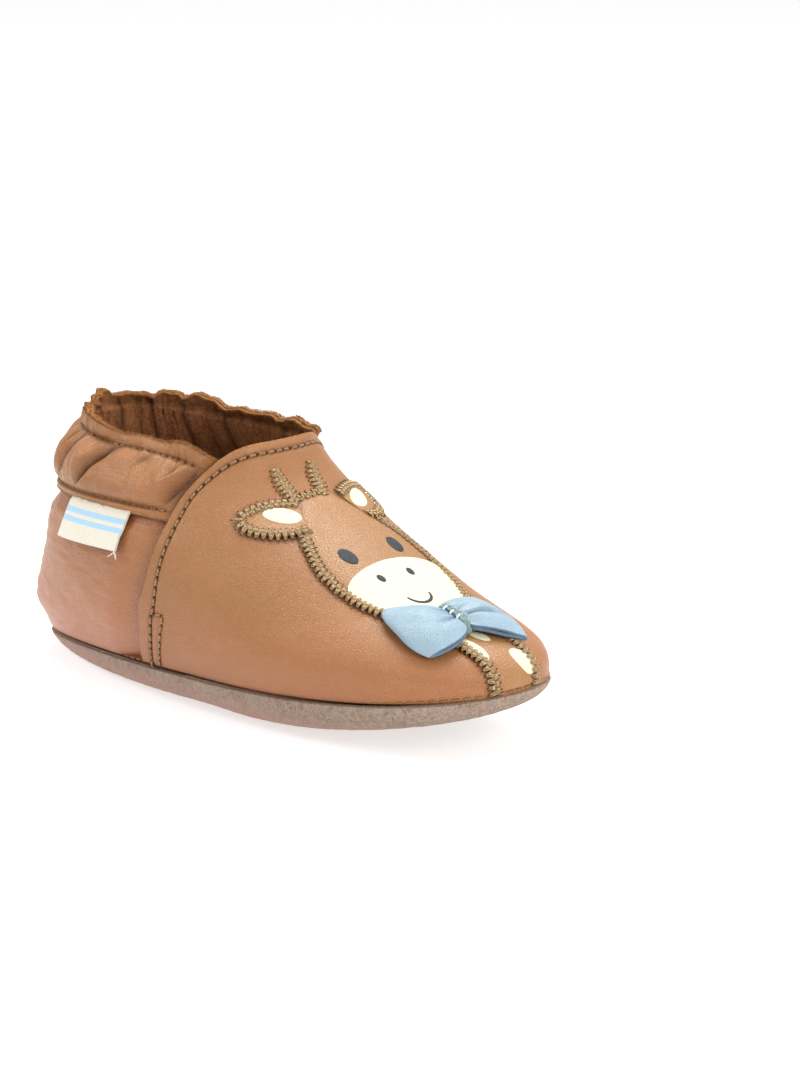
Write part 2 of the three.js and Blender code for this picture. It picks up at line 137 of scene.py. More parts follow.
# Gathers of the collar: angle at the rim, angle at the hem, depth 0..1, how far down it runs 0..1.
PLEATS = (
    (-58, -75, 0.95, 1.0), (-66, -76, 0.45, 0.6), (-84, -92, 0.55, 0.5), (-78, -82, 0.4, 0.35),
    (-93, -113, 1.0, 1.0), (-97, -104, 0.35, 0.6), (-117, -131, 0.8, 1.0), (-128, -136, 0.4, 0.6),
    (-139, -150, 0.95, 1.0), (-158, -163, 0.7, 0.9), (-171, -172, 0.5, 0.6), (178, 179, 0.9, 1.0),
    (163, 168, 0.5, 0.7), (150, 158, 0.95, 1.0), (137, 144, 0.45, 0.5), (126, 136, 0.8, 1.0),
    (110, 121, 0.5, 0.7), (99, 114, 1.0, 1.0), (87, 95, 0.5, 0.5), (74, 86, 0.85, 1.0), (60, 73, 0.9, 1.0),
)

APPLIQUE = 0.55
FILM = 0.16
SATIN_HALF_WIDTH = 1.35
SATIN_PITCH = 1.32
SATIN_RADIUS = 0.15
SATIN_ARCH = 0.42
SATIN_HOLE_RADIUS = 0.17
SATIN_BASE = 0.5
SATIN_PLIES = ((-0.15, 0.0), (0.15, 0.03))  # shift along the line, drop
# Outline of an ear, (s, y) from its root under the cheek, round the tip, to the foot of the horn.
EAR_LINE = ((56.7, 8.6), (55.9, 12.0), (56.2, 15.8), (57.9, 17.9), (60.4, 18.4), (62.8, 17.2),
            (64.5, 14.4), (65.2, 11.2), (65.0, 8.0), (64.2, 6.2))
INNER_EAR = {"s": 61.5, "y": 11.0, "rs": 2.55, "ry": 3.25, "lean": 0.16}
MUZZLE = {"s": 33.4, "y": 0.2, "rs": 9.9, "ry": 13.4}
EYE = {"s": 46.5, "y": 6.6, "rs": 2.45, "ry": 1.6}
NOSTRIL = {"s": 38.4, "y": 4.0, "rs": 1.15, "ry": 0.75}
NOSTRIL_MIDDLE = -0.8
SMILE = {"s": 31.9, "y": -0.9, "rs": 2.9, "ry": 2.9, "half_width": 0.33}
SPOTS = (
    {"s": 11.2, "y": -4.6, "rs": 3.9, "ry": 1.5, "lean": 0.1},
    {"s": 14.6, "y": -0.6, "rs": 2.2, "ry": 1.5, "lean": -0.7},
    {"s": 5.6, "y": 3.0, "rs": 2.9, "ry": 2.3, "lean": -0.4},
)
HORN_LOW = 65.0
HORN_HIGH = 73.4
HORN_MIDDLE = -1.6
HORN_Y = (4.1, 5.0)
HORN_HALF = (1.2, 2.0, 2.0, 1.0)

BOW_S = 20
BOW_Y = -2.5
BOW_LEATHER = 0.75
KNOT_HALF_S = 4.0
TACK_PLIES = ((-0.55, 0.0), (-0.2, 0.2), (0.2, 0.22), (0.55, 0.0), (0.0, 0.42))  # shift, lift
TACK_RADIUS = 0.33
WING_ROOT = 0.4
WING_ROOT_HALF = 3.2
WING_FOLD = 0.085  # softness of the fold at the tip, as a share of the leaf
# Wings by side: reach and half width, slip down the ridge, how far the leaves close at their edges,
# slant and rounding of the tip, and creases as (where across, depth, reach).
WINGS = {
    -1: {
        "tip": 11.2, "half": 9.0, "drop": 1.0, "close": 0.9, "slant": -0.9, "round": 1.6,
        "creases": ((-0.5, 1.0, 0.5), (0.05, 0.5, 0.4), (0.55, 0.8, 0.35)),
    },
    1: {
        "tip": 11.2, "half": 8.2, "drop": 3.0, "close": 0.86, "slant": -0.3, "round": 1.4,
        "creases": ((-0.36, 1.6, 0.95), (0.35, 0.5, 0.35), (0.8, 0.5, 0.3)),
    },
}

LABEL_ANGLES = (-113, -87)
LABEL_LEVELS = (24.2, 34.2)
LABEL_LEAN = 4.5
LABEL_THICKNESS = 0.55
LABEL_FALL = 1.03  # millimetres down the cloth for each level
STRIPE_PLACES = (4.3, 6.2)
STRIPE_HALF = 0.55
# Loose threads at the label's corner, each as its way and its bend.
FRAYS = (
    ((0.2, -0.3, -1), (0.6, 0.1, 0.5)),
    ((0.9, -0.2, -0.6), (-0.3, -0.4, -0.5)),
    ((-0.4, -0.4, -0.8), (-0.8, 0.2, 0.3)),
)

# Camera: angles in degrees, distance, shift to the right and up in millimetres, lens.
CAMERA_AZIMUTH = 45.5
CAMERA_ELEVATION = 17
CAMERA_DISTANCE = 660
CAMERA_AIM = (27.4, 32.5)
CAMERA_LENS = 104.8

# Studio: even light from all round, and soft boxes (name, place in metres, size, watts).
SKY_LIGHT = 0.63
SKY_SEEN = 1.05
FLOOR_GLOW = 0.62
FLOOR_REACH = 4.0
LIGHTS = (
    ("top", (-0.2, 0.3, 0.9), 0.7, 12.0),
    ("key", (-0.5, -0.45, 0.5), 0.35, 2.4),
    ("front", (0.75, -0.15, 0.4), 0.4, 4.0),
    ("back", (0.4, 0.6, 0.5), 0.5, 1.2),
)

# Colours that several materials share.
GOLDEN = "#80532e"
TAN = "#956233"
TAN_SHADE = "#4c2611"
# Painted bounce light from the white floor, mixed into the lower leather.
TAN_PAINTED_BOUNCE = "#ad6641"
STRIPE_BLUE = "#8fc4e6"

# ---- Small maths ----


def lerp(a, b, t):
    """From a at t = 0 to b at t = 1."""
    return a + (b - a) * t


def fade(x, start, end):
    """Smooth step from 0 at start to 1 at end."""
    t = np.clip((x - start) / (end - start), 0, 1)
    return t * t * (3 - 2 * t)


def signed_power(value, power):
    return np.sign(value) * np.abs(value) ** power


def bell(x, width):
    return np.exp(-((x / width) ** 2))


def unit(vectors):
    return vectors / np.maximum(np.linalg.norm(vectors, axis=-1, keepdims=True), 1e-12)


def smooth_table(knots, values, x):
    """Smooth curve through a short table, by cubic Hermite pieces."""
    knots = np.asarray(knots, float)
    values = np.asarray(values, float)
    slopes = np.gradient(values, knots)
    x = np.clip(x, knots[0], knots[-1])
    i = np.clip(np.searchsorted(knots, x, side="right") - 1, 0, len(knots) - 2)
    span = knots[i + 1] - knots[i]
    t = (x - knots[i]) / span
    rise = t * t * (3 - 2 * t)
    pull = t * (1 - t) ** 2 * slopes[i] * span + t * t * (t - 1) * slopes[i + 1] * span
    return values[i] + rise * (values[i + 1] - values[i]) + pull


def path_length(path):
    """Distance along a polyline at each of its points."""
    return np.concatenate([[0], np.cumsum(np.linalg.norm(np.diff(path, axis=0), axis=1))])


def read_path(path, index):
    """Points of a polyline at fractional indexes."""
    return np.stack([np.interp(index, np.arange(len(path)), path[:, k]) for k in range(3)], axis=-1)


def noise(points, size, seed):
    """Smooth random field from -1 to 1 whose lumps are about size across."""
    cells = 24
    lattice = np.random.RandomState(seed).uniform(-1, 1, (cells, cells, cells))
    p = points / size
    base = np.floor(p).astype(int)
    f = p - base
    f = f * f * (3 - 2 * f)
    total = 0
    for corner in np.ndindex(2, 2, 2):
        weight = np.prod([f[..., k] if corner[k] else 1 - f[..., k] for k in range(3)], axis=0)
        index = tuple((base[..., k] + corner[k]) % cells for k in range(3))
        total = total + weight * lattice[index]
    return total


# ---- The shoe's outer skin ----


def skin(angle, level):
    """Point at an angle (0 at the toe, +90 on the inner side) and a level above the sole seam."""
    angle, level = np.broadcast_arrays(np.asarray(angle, float), np.asarray(level, float))
    front = smooth_table(LEVELS, FRONT, level)
    back = smooth_table(LEVELS, BACK, level)
    width = smooth_table(LEVELS, HALF_WIDTH, level)
    taper = smooth_table(LEVELS, TAPER, level)
    power = 2 / smooth_table(LEVELS, SQUARENESS, level)
    c = np.cos(np.radians(angle))
    s = np.sin(np.radians(angle))
    x = (front + back) / 2 + (front - back) / 2 * signed_power(c, power)
    swing = TOE_SWING * np.clip(x / TOE_SWING_LENGTH, 0, 1.2) ** 2
    y = (width + taper * c) * signed_power(s, power) + swing
    lift = TOE_LIFT * ((1 + c) / 2) ** 3 + HEEL_LIFT * ((1 - c) / 2) ** 4
    z = SEAM_HEIGHT + level + lift * np.clip(1 - level / LIFT_FADE_LEVEL, 0, 1)
    return np.stack([x, y, z], axis=-1)


def sole_skin(angle, ratio):
    """Underside of the sole: ratio 0 in the middle, 1 at the seam."""
    angle, ratio = np.broadcast_arrays(np.asarray(angle, float), np.asarray(ratio, float))
    seam = skin(angle, np.zeros_like(angle))
    reach = np.hypot(seam[..., 0] - SOLE_CENTRE_X, seam[..., 1])
    roll = lerp(SOLE_ROLL_END, SOLE_ROLL_SIDE, np.sin(np.radians(angle)) ** 2)
    inner = 1 - roll / reach
    t = np.clip((ratio - inner) / (1 - inner), 0, 1)
    x = SOLE_CENTRE_X + (seam[..., 0] - SOLE_CENTRE_X) * ratio
    y = seam[..., 1] * ratio
    wall = seam[..., 2] - GAP - rocker(seam[..., 0])
    z = rocker(x) + wall * (1 - np.sqrt(1 - t * t))
    return np.stack([x, y, z], axis=-1)


def rocker(x):
    """How far the underside rises towards the toe."""
    return ROCKER_RISE * np.clip((x - ROCKER_START) / (FRONT[0] - ROCKER_START), 0, 1) ** ROCKER_POWER


def surface_normals(surface, a, b, step_a, step_b):
    along_a = surface(a + step_a, b) - surface(a - step_a, b)
    along_b = surface(a, b + step_b) - surface(a, b - step_b)
    return unit(np.cross(along_a, along_b))


def raised(base, normal, height):
    return base + normal * height[..., None]


def on_skin(angle, level, height):
    """Point at a height over the skin."""
    angle, level, height = np.broadcast_arrays(
        np.asarray(angle, float), np.maximum(level, LOWEST), np.asarray(height, float))
    return raised(skin(angle, level), skin_normals(angle, level), height)


def skin_normals(angle, level):
    return surface_normals(skin, angle, np.maximum(level, LOWEST), 0.5, 0.02)


def edge_level(angle):
    """Level of the vamp's edge at an angle."""
    return VAMP_TOP * (1 - (np.abs(angle) / VAMP_ANGLE) ** VAMP_POWER)


def edge_angle(level):
    """Angle of the vamp's edge at a level."""
    return VAMP_ANGLE * np.clip(1 - level / VAMP_TOP, 0, 1) ** (1 / VAMP_POWER)


def tuck(angle, level):
    """1 under the vamp, fading to 0 behind its edge."""
    return 1 - fade(np.abs(angle) - edge_angle(level), 1.5, TUCK_FADE)


def rim_level(angle):
    c = np.cos(np.radians(angle))
    return RIM_SIDE + (np.where(c < 0, RIM_BACK, RIM_FRONT) - RIM_SIDE) * c * c


def wrap(angle):
    return np.where(angle > 180, angle - 360, angle)


# Distance up the ridge of the vamp, from the toe seam, against level.
RIDGE_LEVELS = np.linspace(0, VAMP_TOP, 471)
RIDGE = path_length(skin(np.zeros(471), RIDGE_LEVELS))


def vamp_place(s, y):
    """Angle and level of the point s up the ridge and y across from the motif's middle line."""
    s, y = np.broadcast_arrays(np.asarray(s, float), np.asarray(y, float))
    level = np.interp(s, RIDGE, RIDGE_LEVELS)
    across = y + MOTIF_LEAN_START + MOTIF_LEAN * s
    width = smooth_table(LEVELS, HALF_WIDTH, level)
    taper = smooth_table(LEVELS, TAPER, level)
    power = smooth_table(LEVELS, SQUARENESS, level) / 2
    c = 1.0
    for _ in range(6):
        sine = signed_power(np.clip(across / (width + taper * c), -1, 1), power)
        c = np.sqrt(1 - sine * sine)
    return np.degrees(np.arcsin(sine)), level


def on_vamp(s, y, height):
    """Point over the vamp, riding on its gentle waves."""
    angle, level = vamp_place(s, y)
    base = skin(angle, level)
    return raised(base, skin_normals(angle, level), np.asarray(height, float) + vamp_wave(base))


def vamp_normals(s, y):
    return skin_normals(*vamp_place(s, y))


def vamp_wave(points):
    return VAMP_WAVE * noise(points, 15, 3) + 0.4 * VAMP_WAVE * noise(points, 6, 4)


def face_half(s):
    """Half width of the face at a distance up the ridge."""
    return smooth_table(FACE_STATIONS, FACE_HALF_WIDTHS, s)


# ---- Meshes ----


def make_mesh(name, vertices, faces, materials, face_material=None, attributes=None):
    """Mesh object from vertices in millimetres and a list of face arrays, one array for each face size."""
    mesh = bpy.data.meshes.new(name)
    vertices = np.asarray(vertices, float).reshape(-1, 3)
    mesh.vertices.add(len(vertices))
    mesh.vertices.foreach_set("co", (vertices * MM).astype(np.float32).ravel())
    sizes = np.concatenate([np.full(len(f), f.shape[1]) for f in faces])
    corners = np.concatenate([f.ravel() for f in faces])
    mesh.loops.add(len(corners))
    mesh.loops.foreach_set("vertex_index", corners.astype(np.int32))
    mesh.polygons.add(len(sizes))
    starts = np.concatenate([[0], np.cumsum(sizes)[:-1]])
    mesh.polygons.foreach_set("loop_start", starts.astype(np.int32))
    mesh.polygons.foreach_set("loop_total", sizes.astype(np.int32))
    mesh.polygons.foreach_set("use_smooth", np.ones(len(sizes), bool))
    for material in materials:
        mesh.materials.append(material)
    if face_material is not None:
        mesh.polygons.foreach_set("material_index", face_material.astype(np.int32))
    for key, values in (attributes or {}).items():
        add_attribute(mesh, key, values)
    mesh.update(calc_edges=True)
    mesh.validate()
    return add_object(name, mesh)


def add_attribute(mesh, key, values):
    attribute = mesh.attributes.new(key, "FLOAT", "POINT")
    attribute.data.foreach_set("value", np.asarray(values, np.float32).ravel())


def add_object(name, data):
    obj = bpy.data.objects.new(name, data)
    bpy.context.scene.collection.objects.link(obj)
    return obj


def grid_quads(rows, cols, start=0, flip=False, wrapped=False):
    """Faces of a grid of points. wrapped joins its last column to its first."""
    r, c = np.mgrid[0:rows - 1, 0:cols if wrapped else cols - 1]
    d = (c + 1) % cols
    quads = np.stack([r * cols + c, r * cols + d, (r + 1) * cols + d, (r + 1) * cols + c], axis=-1)
    quads = quads.reshape(-1, 4) + start
    return quads[:, ::-1] if flip else quads


def rim_loops(rows, cols, wrapped):
    """Index loops round a grid's rim, each entry with the next index inwards."""
    top = rows - 1
    right = cols - 1
    if wrapped:
        return [[(0, c, 1, c) for c in range(cols)], [(top, c, top - 1, c) for c in range(cols)][::-1]]
    loop = [(0, c, 1, c) for c in range(right)]
    loop += [(r, right, r, right - 1) for r in range(top)]
    loop += [(top, c, top - 1, c) for c in range(right, 0, -1)]
    loop += [(r, 0, r, 1) for r in range(top, 0, -1)]
    return [loop]


def shell(name, outer, inner, materials, wrapped=False, shade=None, inner_shade=None, edge_bulge=0.8):
    """Closed sheet between two grids of points, with a rounded edge. Materials: outside, inside, edge."""
    rows, cols = outer.shape[:2]
    count = rows * cols
    vertices = [outer.reshape(-1, 3), inner.reshape(-1, 3)]
    outside = grid_quads(rows, cols, 0, False, wrapped)
    inside = grid_quads(rows, cols, count, True, wrapped)
    edge_faces = []
    start = 2 * count
    for loop in rim_loops(rows, cols, wrapped):
        at = np.array([r * cols + c for r, c, _, _ in loop])
        into = np.array([r * cols + c for _, _, r, c in loop])
        o = vertices[0][at]
        i = vertices[1][at]
        outward = unit(o - vertices[0][into] + i - vertices[1][into])
        half = np.linalg.norm(o - i, axis=1, keepdims=True) / 2
        rings = [at]
        for k in range(1, EDGE_STEPS):
            turn = math.pi * k / EDGE_STEPS
            ring = (o + i) / 2 + (o - i) / 2 * math.cos(turn) + outward * half * math.sin(turn) * edge_bulge
            vertices.append(ring)
            rings.append(np.arange(len(loop)) + start)
            start += len(loop)
        rings.append(at + count)
        for a, b in zip(rings[:-1], rings[1:]):
            edge_faces.append(np.stack([a, b, np.roll(b, -1), np.roll(a, -1)], axis=-1))
    edge = np.concatenate(edge_faces)
    index = np.concatenate([np.zeros(len(outside)), np.ones(len(inside)), np.full(len(edge), 2)])
    vertices = np.concatenate(vertices)
    values = np.zeros(len(vertices))
    if shade is not None:
        values[:count] = shade.ravel()
    if inner_shade is not None:
        values[count:2 * count] = inner_shade.ravel()
    return make_mesh(name, vertices, [outside, inside, edge], materials, index, {"shade": values})


def grid_normals(grid, wrapped=False):
    """Normals of a grid of points, columns across and rows up."""
    if wrapped:
        across = np.roll(grid, -1, axis=1) - np.roll(grid, 1, axis=1)
    else:
        across = np.gradient(grid, axis=1)
    return unit(np.cross(across, np.gradient(grid, axis=0)))


def tubes(name, paths, normals, radius, sides, material):
    """Round threads along many paths at once. paths and normals: (threads, points, 3)."""
    paths = np.asarray(paths)
    normals = np.asarray(normals)
    count, steps = paths.shape[:2]
    tangent = unit(np.gradient(paths, axis=1))
    side = unit(np.cross(tangent, normals))
    up = np.cross(side, tangent)
    turn = np.linspace(0, 2 * math.pi, sides, endpoint=False)
    t = np.linspace(-1, 1, steps)
    size = radius * np.sqrt(np.clip(1 - np.abs(t) ** 8, 0.06, 1))[None, :, None, None]
    ring = up[:, :, None] * np.cos(turn)[:, None] + side[:, :, None] * np.sin(turn)[:, None]
    vertices = paths[:, :, None] + ring * size
    one = grid_quads(steps, sides, wrapped=True)
    cap = [[0, 1, 2, sides - 1]]
    while len(cap) < sides // 2 - 1:
        k = len(cap)
        cap.append([sides - k, k + 1, k + 2, sides - k - 1])
    cap = np.array(cap)
    last = cap[:, ::-1] + (steps - 1) * sides
    faces = np.concatenate([one[:, ::-1], cap, last])
    shift = (np.arange(count) * steps * sides)[:, None, None]
    faces = (faces[None] + shift).reshape(-1, 4)
    length = np.linalg.norm(np.diff(paths, axis=1), axis=2)
    along = np.concatenate([np.zeros((count, 1)), np.cumsum(length, axis=1)], axis=1)
    along = np.repeat(along[:, :, None], sides, axis=2)
    around = np.broadcast_to(turn / (2 * math.pi), along.shape)
    return make_mesh(name, vertices, [faces], [material], None, {"along": along, "around": around})


def curve_through(points, steps):
    """Smooth line through a few drawn points, by Catmull-Rom pieces."""
    p = np.asarray(points, float)
    p = np.concatenate([[2 * p[0] - p[1]], p, [2 * p[-1] - p[-2]]])
    u = np.linspace(0, len(p) - 3, steps)
    i = np.minimum(u.astype(int), len(p) - 4)
    t = (u - i)[:, None]
    a, b, c, d = p[i], p[i + 1], p[i + 2], p[i + 3]
    square = 2 * a - 5 * b + 4 * c - d
    cube = 3 * b - a - 3 * c + d
    return 0.5 * (2 * b + (c - a) * t + square * t ** 2 + cube * t ** 3)


def distance_to(points, samples):
    """Distance from each point to the nearest sample."""
    tree = KDTree(len(samples))
    for i, p in enumerate(samples):
        tree.insert(p, i)
    tree.balance()
    flat = points.reshape(-1, 3)
    found = np.array([tree.find(p)[2] for p in flat])
    return found.reshape(points.shape[:-1])


def stitch_places(path, step=STITCH_PITCH):
    """Evenly spaced needle holes along a path of surface points, with their fractional indexes."""
    length = path_length(path)
    wanted = np.arange(0, length[-1], step)
    index = np.interp(wanted, length, np.arange(len(path)))
    points = np.stack([np.interp(wanted, length, path[:, k]) for k in range(3)], axis=1)
    return points, index


# ---- Materials ----


def linear(hex_colour):
    """Linear RGBA of an sRGB hex colour."""
    channels = [int(hex_colour[i:i + 2], 16) / 255 for i in (1, 3, 5)]
    return [c / 12.92 if c <= 0.04045 else ((c + 0.055) / 1.055) ** 2.4 for c in channels] + [1.0]


def lighter(hex_colour, factor):
    channels = [min(255, round(int(hex_colour[i:i + 2], 16) * factor)) for i in (1, 3, 5)]
    return "#" + "".join(f"{c:02x}" for c in channels)


class Shader:
    """A node material, built by short calls that return output sockets."""

    def __init__(self, name):
        self.material = bpy.data.materials.new(name)
        self.material.use_nodes = True
        self.tree = self.material.node_tree
        self.bsdf = self.tree.nodes["Principled BSDF"]

    def put(self, socket, value):
        """Links an output, or sets a value or a hex colour."""
        if isinstance(value, bpy.types.NodeSocket):
            self.tree.links.new(value, socket)
        elif value is not None:
            socket.default_value = linear(value) if isinstance(value, str) else value

    def node(self, kind, output=0, **settings):
        """Makes a node from its properties and inputs, and returns one of its outputs."""
        made = self.tree.nodes.new(kind)
        inputs = settings.pop("inputs", {})
        for key, value in settings.items():
            setattr(made, key, value)
        for key, value in inputs.items():
            self.put(made.inputs[key], value)
        return made.outputs[output]

    def place(self, scale=(1, 1, 1)):
        """Object coordinates in millimetres, stretched by scale."""
        coordinates = self.node("ShaderNodeTexCoord", 3)
        factors = [1000 * k for k in scale]
        return self.node("ShaderNodeMapping", inputs={"Vector": coordinates, "Scale": factors})

    def noise(self, place, size, detail=2.0, roughness=0.5, distortion=0.0):
        inputs = {"Vector": place, "Scale": 1 / size, "Detail": detail, "Roughness": roughness,
                  "Distortion": distortion}
        return self.node("ShaderNodeTexNoise", inputs=inputs)

    def cells(self, place, size):
        """Distance to the borders of irregular cells, for a pebbled grain."""
        inputs = {"Vector": place, "Scale": 1 / size}
        return self.node("ShaderNodeTexVoronoi", feature="DISTANCE_TO_EDGE", inputs=inputs)

    def maths(self, operation, a, b=0.0, clamp=False):
        return self.node("ShaderNodeMath", operation=operation, use_clamp=clamp, inputs={0: a, 1: b})

    def ramp(self, value, low, high, to_low=0.0, to_high=1.0):
        inputs = {"Value": value, "From Min": low, "From Max": high, "To Min": to_low, "To Max": to_high}
        return self.node("ShaderNodeMapRange", inputs=inputs)

    def mix(self, factor, a, b):
        """Colour a at factor 0 and b at factor 1."""
        made = self.tree.nodes.new("ShaderNodeMix")
        made.data_type = "RGBA"
        self.put(made.inputs[0], factor)
        self.put(made.inputs[6], a)
        self.put(made.inputs[7], b)
        return made.outputs[2]

    def attribute(self, name):
        return self.node("ShaderNodeAttribute", 2, attribute_name=name)

    def bump(self, height, distance, normal=None):
        """Relief of a height field, distance in millimetres, over an earlier normal."""
        inputs = {"Height": height, "Distance": distance * MM}
        if normal is not None:
            inputs["Normal"] = normal
        return self.node("ShaderNodeBump", inputs=inputs)

    def finish(self, colour, roughness, normal=None, **others):
        self.put(self.bsdf.inputs["Base Color"], colour)
        self.put(self.bsdf.inputs["Roughness"], roughness)
        self.put(self.bsdf.inputs["Normal"], normal)
        for key, value in others.items():
            self.put(self.bsdf.inputs[key.replace("_", " ")], value)
        return self.material


def leather_material(name, colour, shade_colour, painted_bounce_colour, grain, wrinkle=0.0, lift=0.0):
    """Smooth full-grain leather: fine pebble, soft wrinkles, painted shade in creases and grooves, painted
    bounce light from the floor low down.

    lift moves the painted bounce light up, in millimetres.
    """
    m = Shader(name)
    place = m.place()
    broad = m.noise(place, 22, 3)
    fine = m.noise(place, 3.2, 4, 0.6)
    base = m.mix(m.ramp(broad, 0.35, 0.65), colour, lighter(colour, 1.05))
    base = m.mix(m.ramp(fine, 0.3, 0.75, 0, 0.22), base, lighter(colour, 0.9))
    height = m.node("ShaderNodeSeparateXYZ", 2, inputs={0: place})
    # Painted bounce light from the white floor, strongest low down.
    low = m.ramp(height, 27 + lift, 3 + lift)
    base = m.mix(m.maths("MULTIPLY", low, 0.6), base, painted_bounce_colour)
    pores = m.cells(place, grain)
    pits = m.ramp(pores, 0.0, 0.16)
    base = m.mix(m.maths("MULTIPLY", m.maths("SUBTRACT", 1.0, pits), 0.13), base, shade_colour)
    # Painted shade in creases, grooves, holes and under stitching, from the shade attribute.
    painted_shade_mask = m.attribute("shade")
    base = m.mix(m.maths("MULTIPLY", painted_shade_mask, 0.9, clamp=True), base, shade_colour)
    relief = m.maths("ADD", m.maths("MULTIPLY", pits, 0.5), m.maths("MULTIPLY", fine, 0.6))
    normal = m.bump(relief, 0.12)
    if wrinkle:
        folds = m.noise(m.place((0.5, 0.5, 1.5)), 1.5, 3, 0.55, 1.2)
        normal = m.bump(m.maths("POWER", folds, 1.5), 0.42 * wrinkle, normal)
    gloss = m.ramp(fine, 0.3, 0.7, 0.38, 0.5)
    return m.finish(base, gloss, normal, Specular_IOR_Level=0.5, Coat_Weight=0.08, Coat_Roughness=0.3)


def suede_material(name, dark, light, pile, painted_bounce=None, sheen=0.35):
    """Napped leather: a dense mottled pile, matt, with a soft sheen, and painted shade from the shade
    attribute. An optional bounce colour is painted bounce light from the floor, mixed in near the floor.
    """
    m = Shader(name)
    place = m.place()
    speck = m.noise(place, pile, 3, 0.75)
    nap = m.noise(m.place((1, 1, 0.5)), pile * 2.2, 3, 0.6)
    brushed = m.noise(place, 9, 2)
    both = m.maths("ADD", m.maths("MULTIPLY", speck, 0.65), m.maths("MULTIPLY", nap, 0.35))
    base = m.mix(m.ramp(both, 0.36, 0.64), dark, light)
    base = m.mix(m.ramp(brushed, 0.3, 0.7, 0, 0.22), base, lighter(light, 1.08))
    # Painted bounce light from the floor, mixed in low down.
    if painted_bounce:
        height = m.node("ShaderNodeSeparateXYZ", 2, inputs={0: place})
        base = m.mix(m.ramp(height, 6.5, 1.5, 0, 0.55), base, painted_bounce)
    rubbed = m.mix(speck, lighter(GOLDEN, 0.7), lighter(GOLDEN, 1.25))
    base = m.mix(m.attribute("golden"), base, rubbed)
    # Painted shade from the shade attribute.
    painted_shade_mask = m.attribute("shade")
    base = m.mix(m.maths("MULTIPLY", painted_shade_mask, 0.85, clamp=True), base, lighter(dark, 0.35))
    normal = m.bump(both, 0.4)
    return m.finish(base, 0.95, normal, Specular_IOR_Level=0.1, Sheen_Weight=sheen, Sheen_Roughness=0.6,
                    Sheen_Tint=light)


def thread_material(name, dark, light, roughness=0.42, twist=1.6):
    """Twisted thread: painted highlight and painted shade on its plies, winding round it."""
    m = Shader(name)
    along = m.maths("MULTIPLY", m.attribute("along"), twist)
    phase = m.maths("ADD", along, m.maths("MULTIPLY", m.attribute("around"), 2.0))
    ply = m.maths("PINGPONG", phase, 0.5)
    ply_light_and_shade = m.ramp(ply, 0.08, 0.42)
    speck = m.noise(m.place(), 0.6, 2)
    base = m.mix(ply_light_and_shade, dark, light)
    base = m.mix(m.ramp(speck, 0.35, 0.7, 0, 0.4), base, lighter(dark, 0.8))
    normal = m.bump(ply_light_and_shade, 0.07)
    return m.finish(base, roughness, normal, Sheen_Weight=0.15, Sheen_Tint=light)


def film_material(name, colour, roughness, crackle):
    """Transfer film pressed into leather: nearly flat, with the grain showing through."""
    m = Shader(name)
    place = m.place()
    grain = m.cells(place, 0.6)
    fine = m.noise(place, 1.2, 3, 0.6)
    base = m.mix(m.ramp(fine, 0.3, 0.7, 0, 1), lighter(colour, 0.95), colour)
    normal = m.bump(m.maths("ADD", m.ramp(grain, 0, 0.15), fine), 0.05 * crackle)
    return m.finish(base, roughness, normal, Specular_IOR_Level=0.35)


def cloth_material(name):
    """Woven label: cream satin weave with two pale blue stripes."""
    m = Shader(name)
    across = m.attribute("across")
    down = m.attribute("down")
    warp = m.maths("PINGPONG", m.maths("MULTIPLY", across, 2.2), 0.5)
    weft = m.maths("PINGPONG", m.maths("MULTIPLY", down, 3.0), 0.5)
    weave = m.maths("ADD", warp, weft)
    base = m.mix(m.ramp(weave, 0.2, 0.9), "#c9c1ae", "#e9e4d6")
    for middle in STRIPE_PLACES:
        offset = m.maths("ABSOLUTE", m.maths("SUBTRACT", down, middle))
        band = m.ramp(offset, STRIPE_HALF + 0.08, STRIPE_HALF - 0.08)
        base = m.mix(m.maths("MULTIPLY", band, 0.85), base, STRIPE_BLUE)
    normal = m.bump(weave, 0.09)
    return m.finish(base, 0.75, normal, Sheen_Weight=0.3)


def plain_material(name, colour, roughness):
    """One mottled colour for foam, webbing, cut edges, and the painted shade of needle holes."""
    m = Shader(name)
    speck = m.noise(m.place(), 0.8, 3, 0.6)
    base = m.mix(m.ramp(speck, 0.3, 0.7), lighter(colour, 0.86), colour)
    return m.finish(base, roughness, m.bump(speck, 0.12))


# In each leather below, the colour after the shade colour is painted bounce light from the white floor,
# mixed into the lower parts.
vamp_leather = leather_material("vamp_leather", TAN, TAN_SHADE, TAN_PAINTED_BOUNCE, 0.5)
quarter_leather = leather_material("quarter_leather", "#9b6338", TAN_SHADE, "#c07e66", 0.6, 0.7)
collar_leather = leather_material("collar_leather", "#966233", TAN_SHADE, TAN_PAINTED_BOUNCE, 0.55, 0.55, -20)
# Face leather is the vamp's tan painted a little lighter, a painted highlight for the gloss on the face's
# top surfaces.
face_leather = leather_material("face_leather", "#986b3c", "#6a411d", "#a06b43", 0.7, 0.0, -4)
blue_leather = leather_material("blue_leather", "#8ca4b2", "#4a627a", "#8ca4b2", 0.5, 0.25, -60)
blue_edge = plain_material("blue_edge", "#5d7286", 0.7)
lining_suede = suede_material("lining_suede", "#56331f", "#94613c", 0.7, None, 0.3)
raw_edge = suede_material("raw_edge", "#623c1e", "#b07d4d", 0.42, None, 0.3)
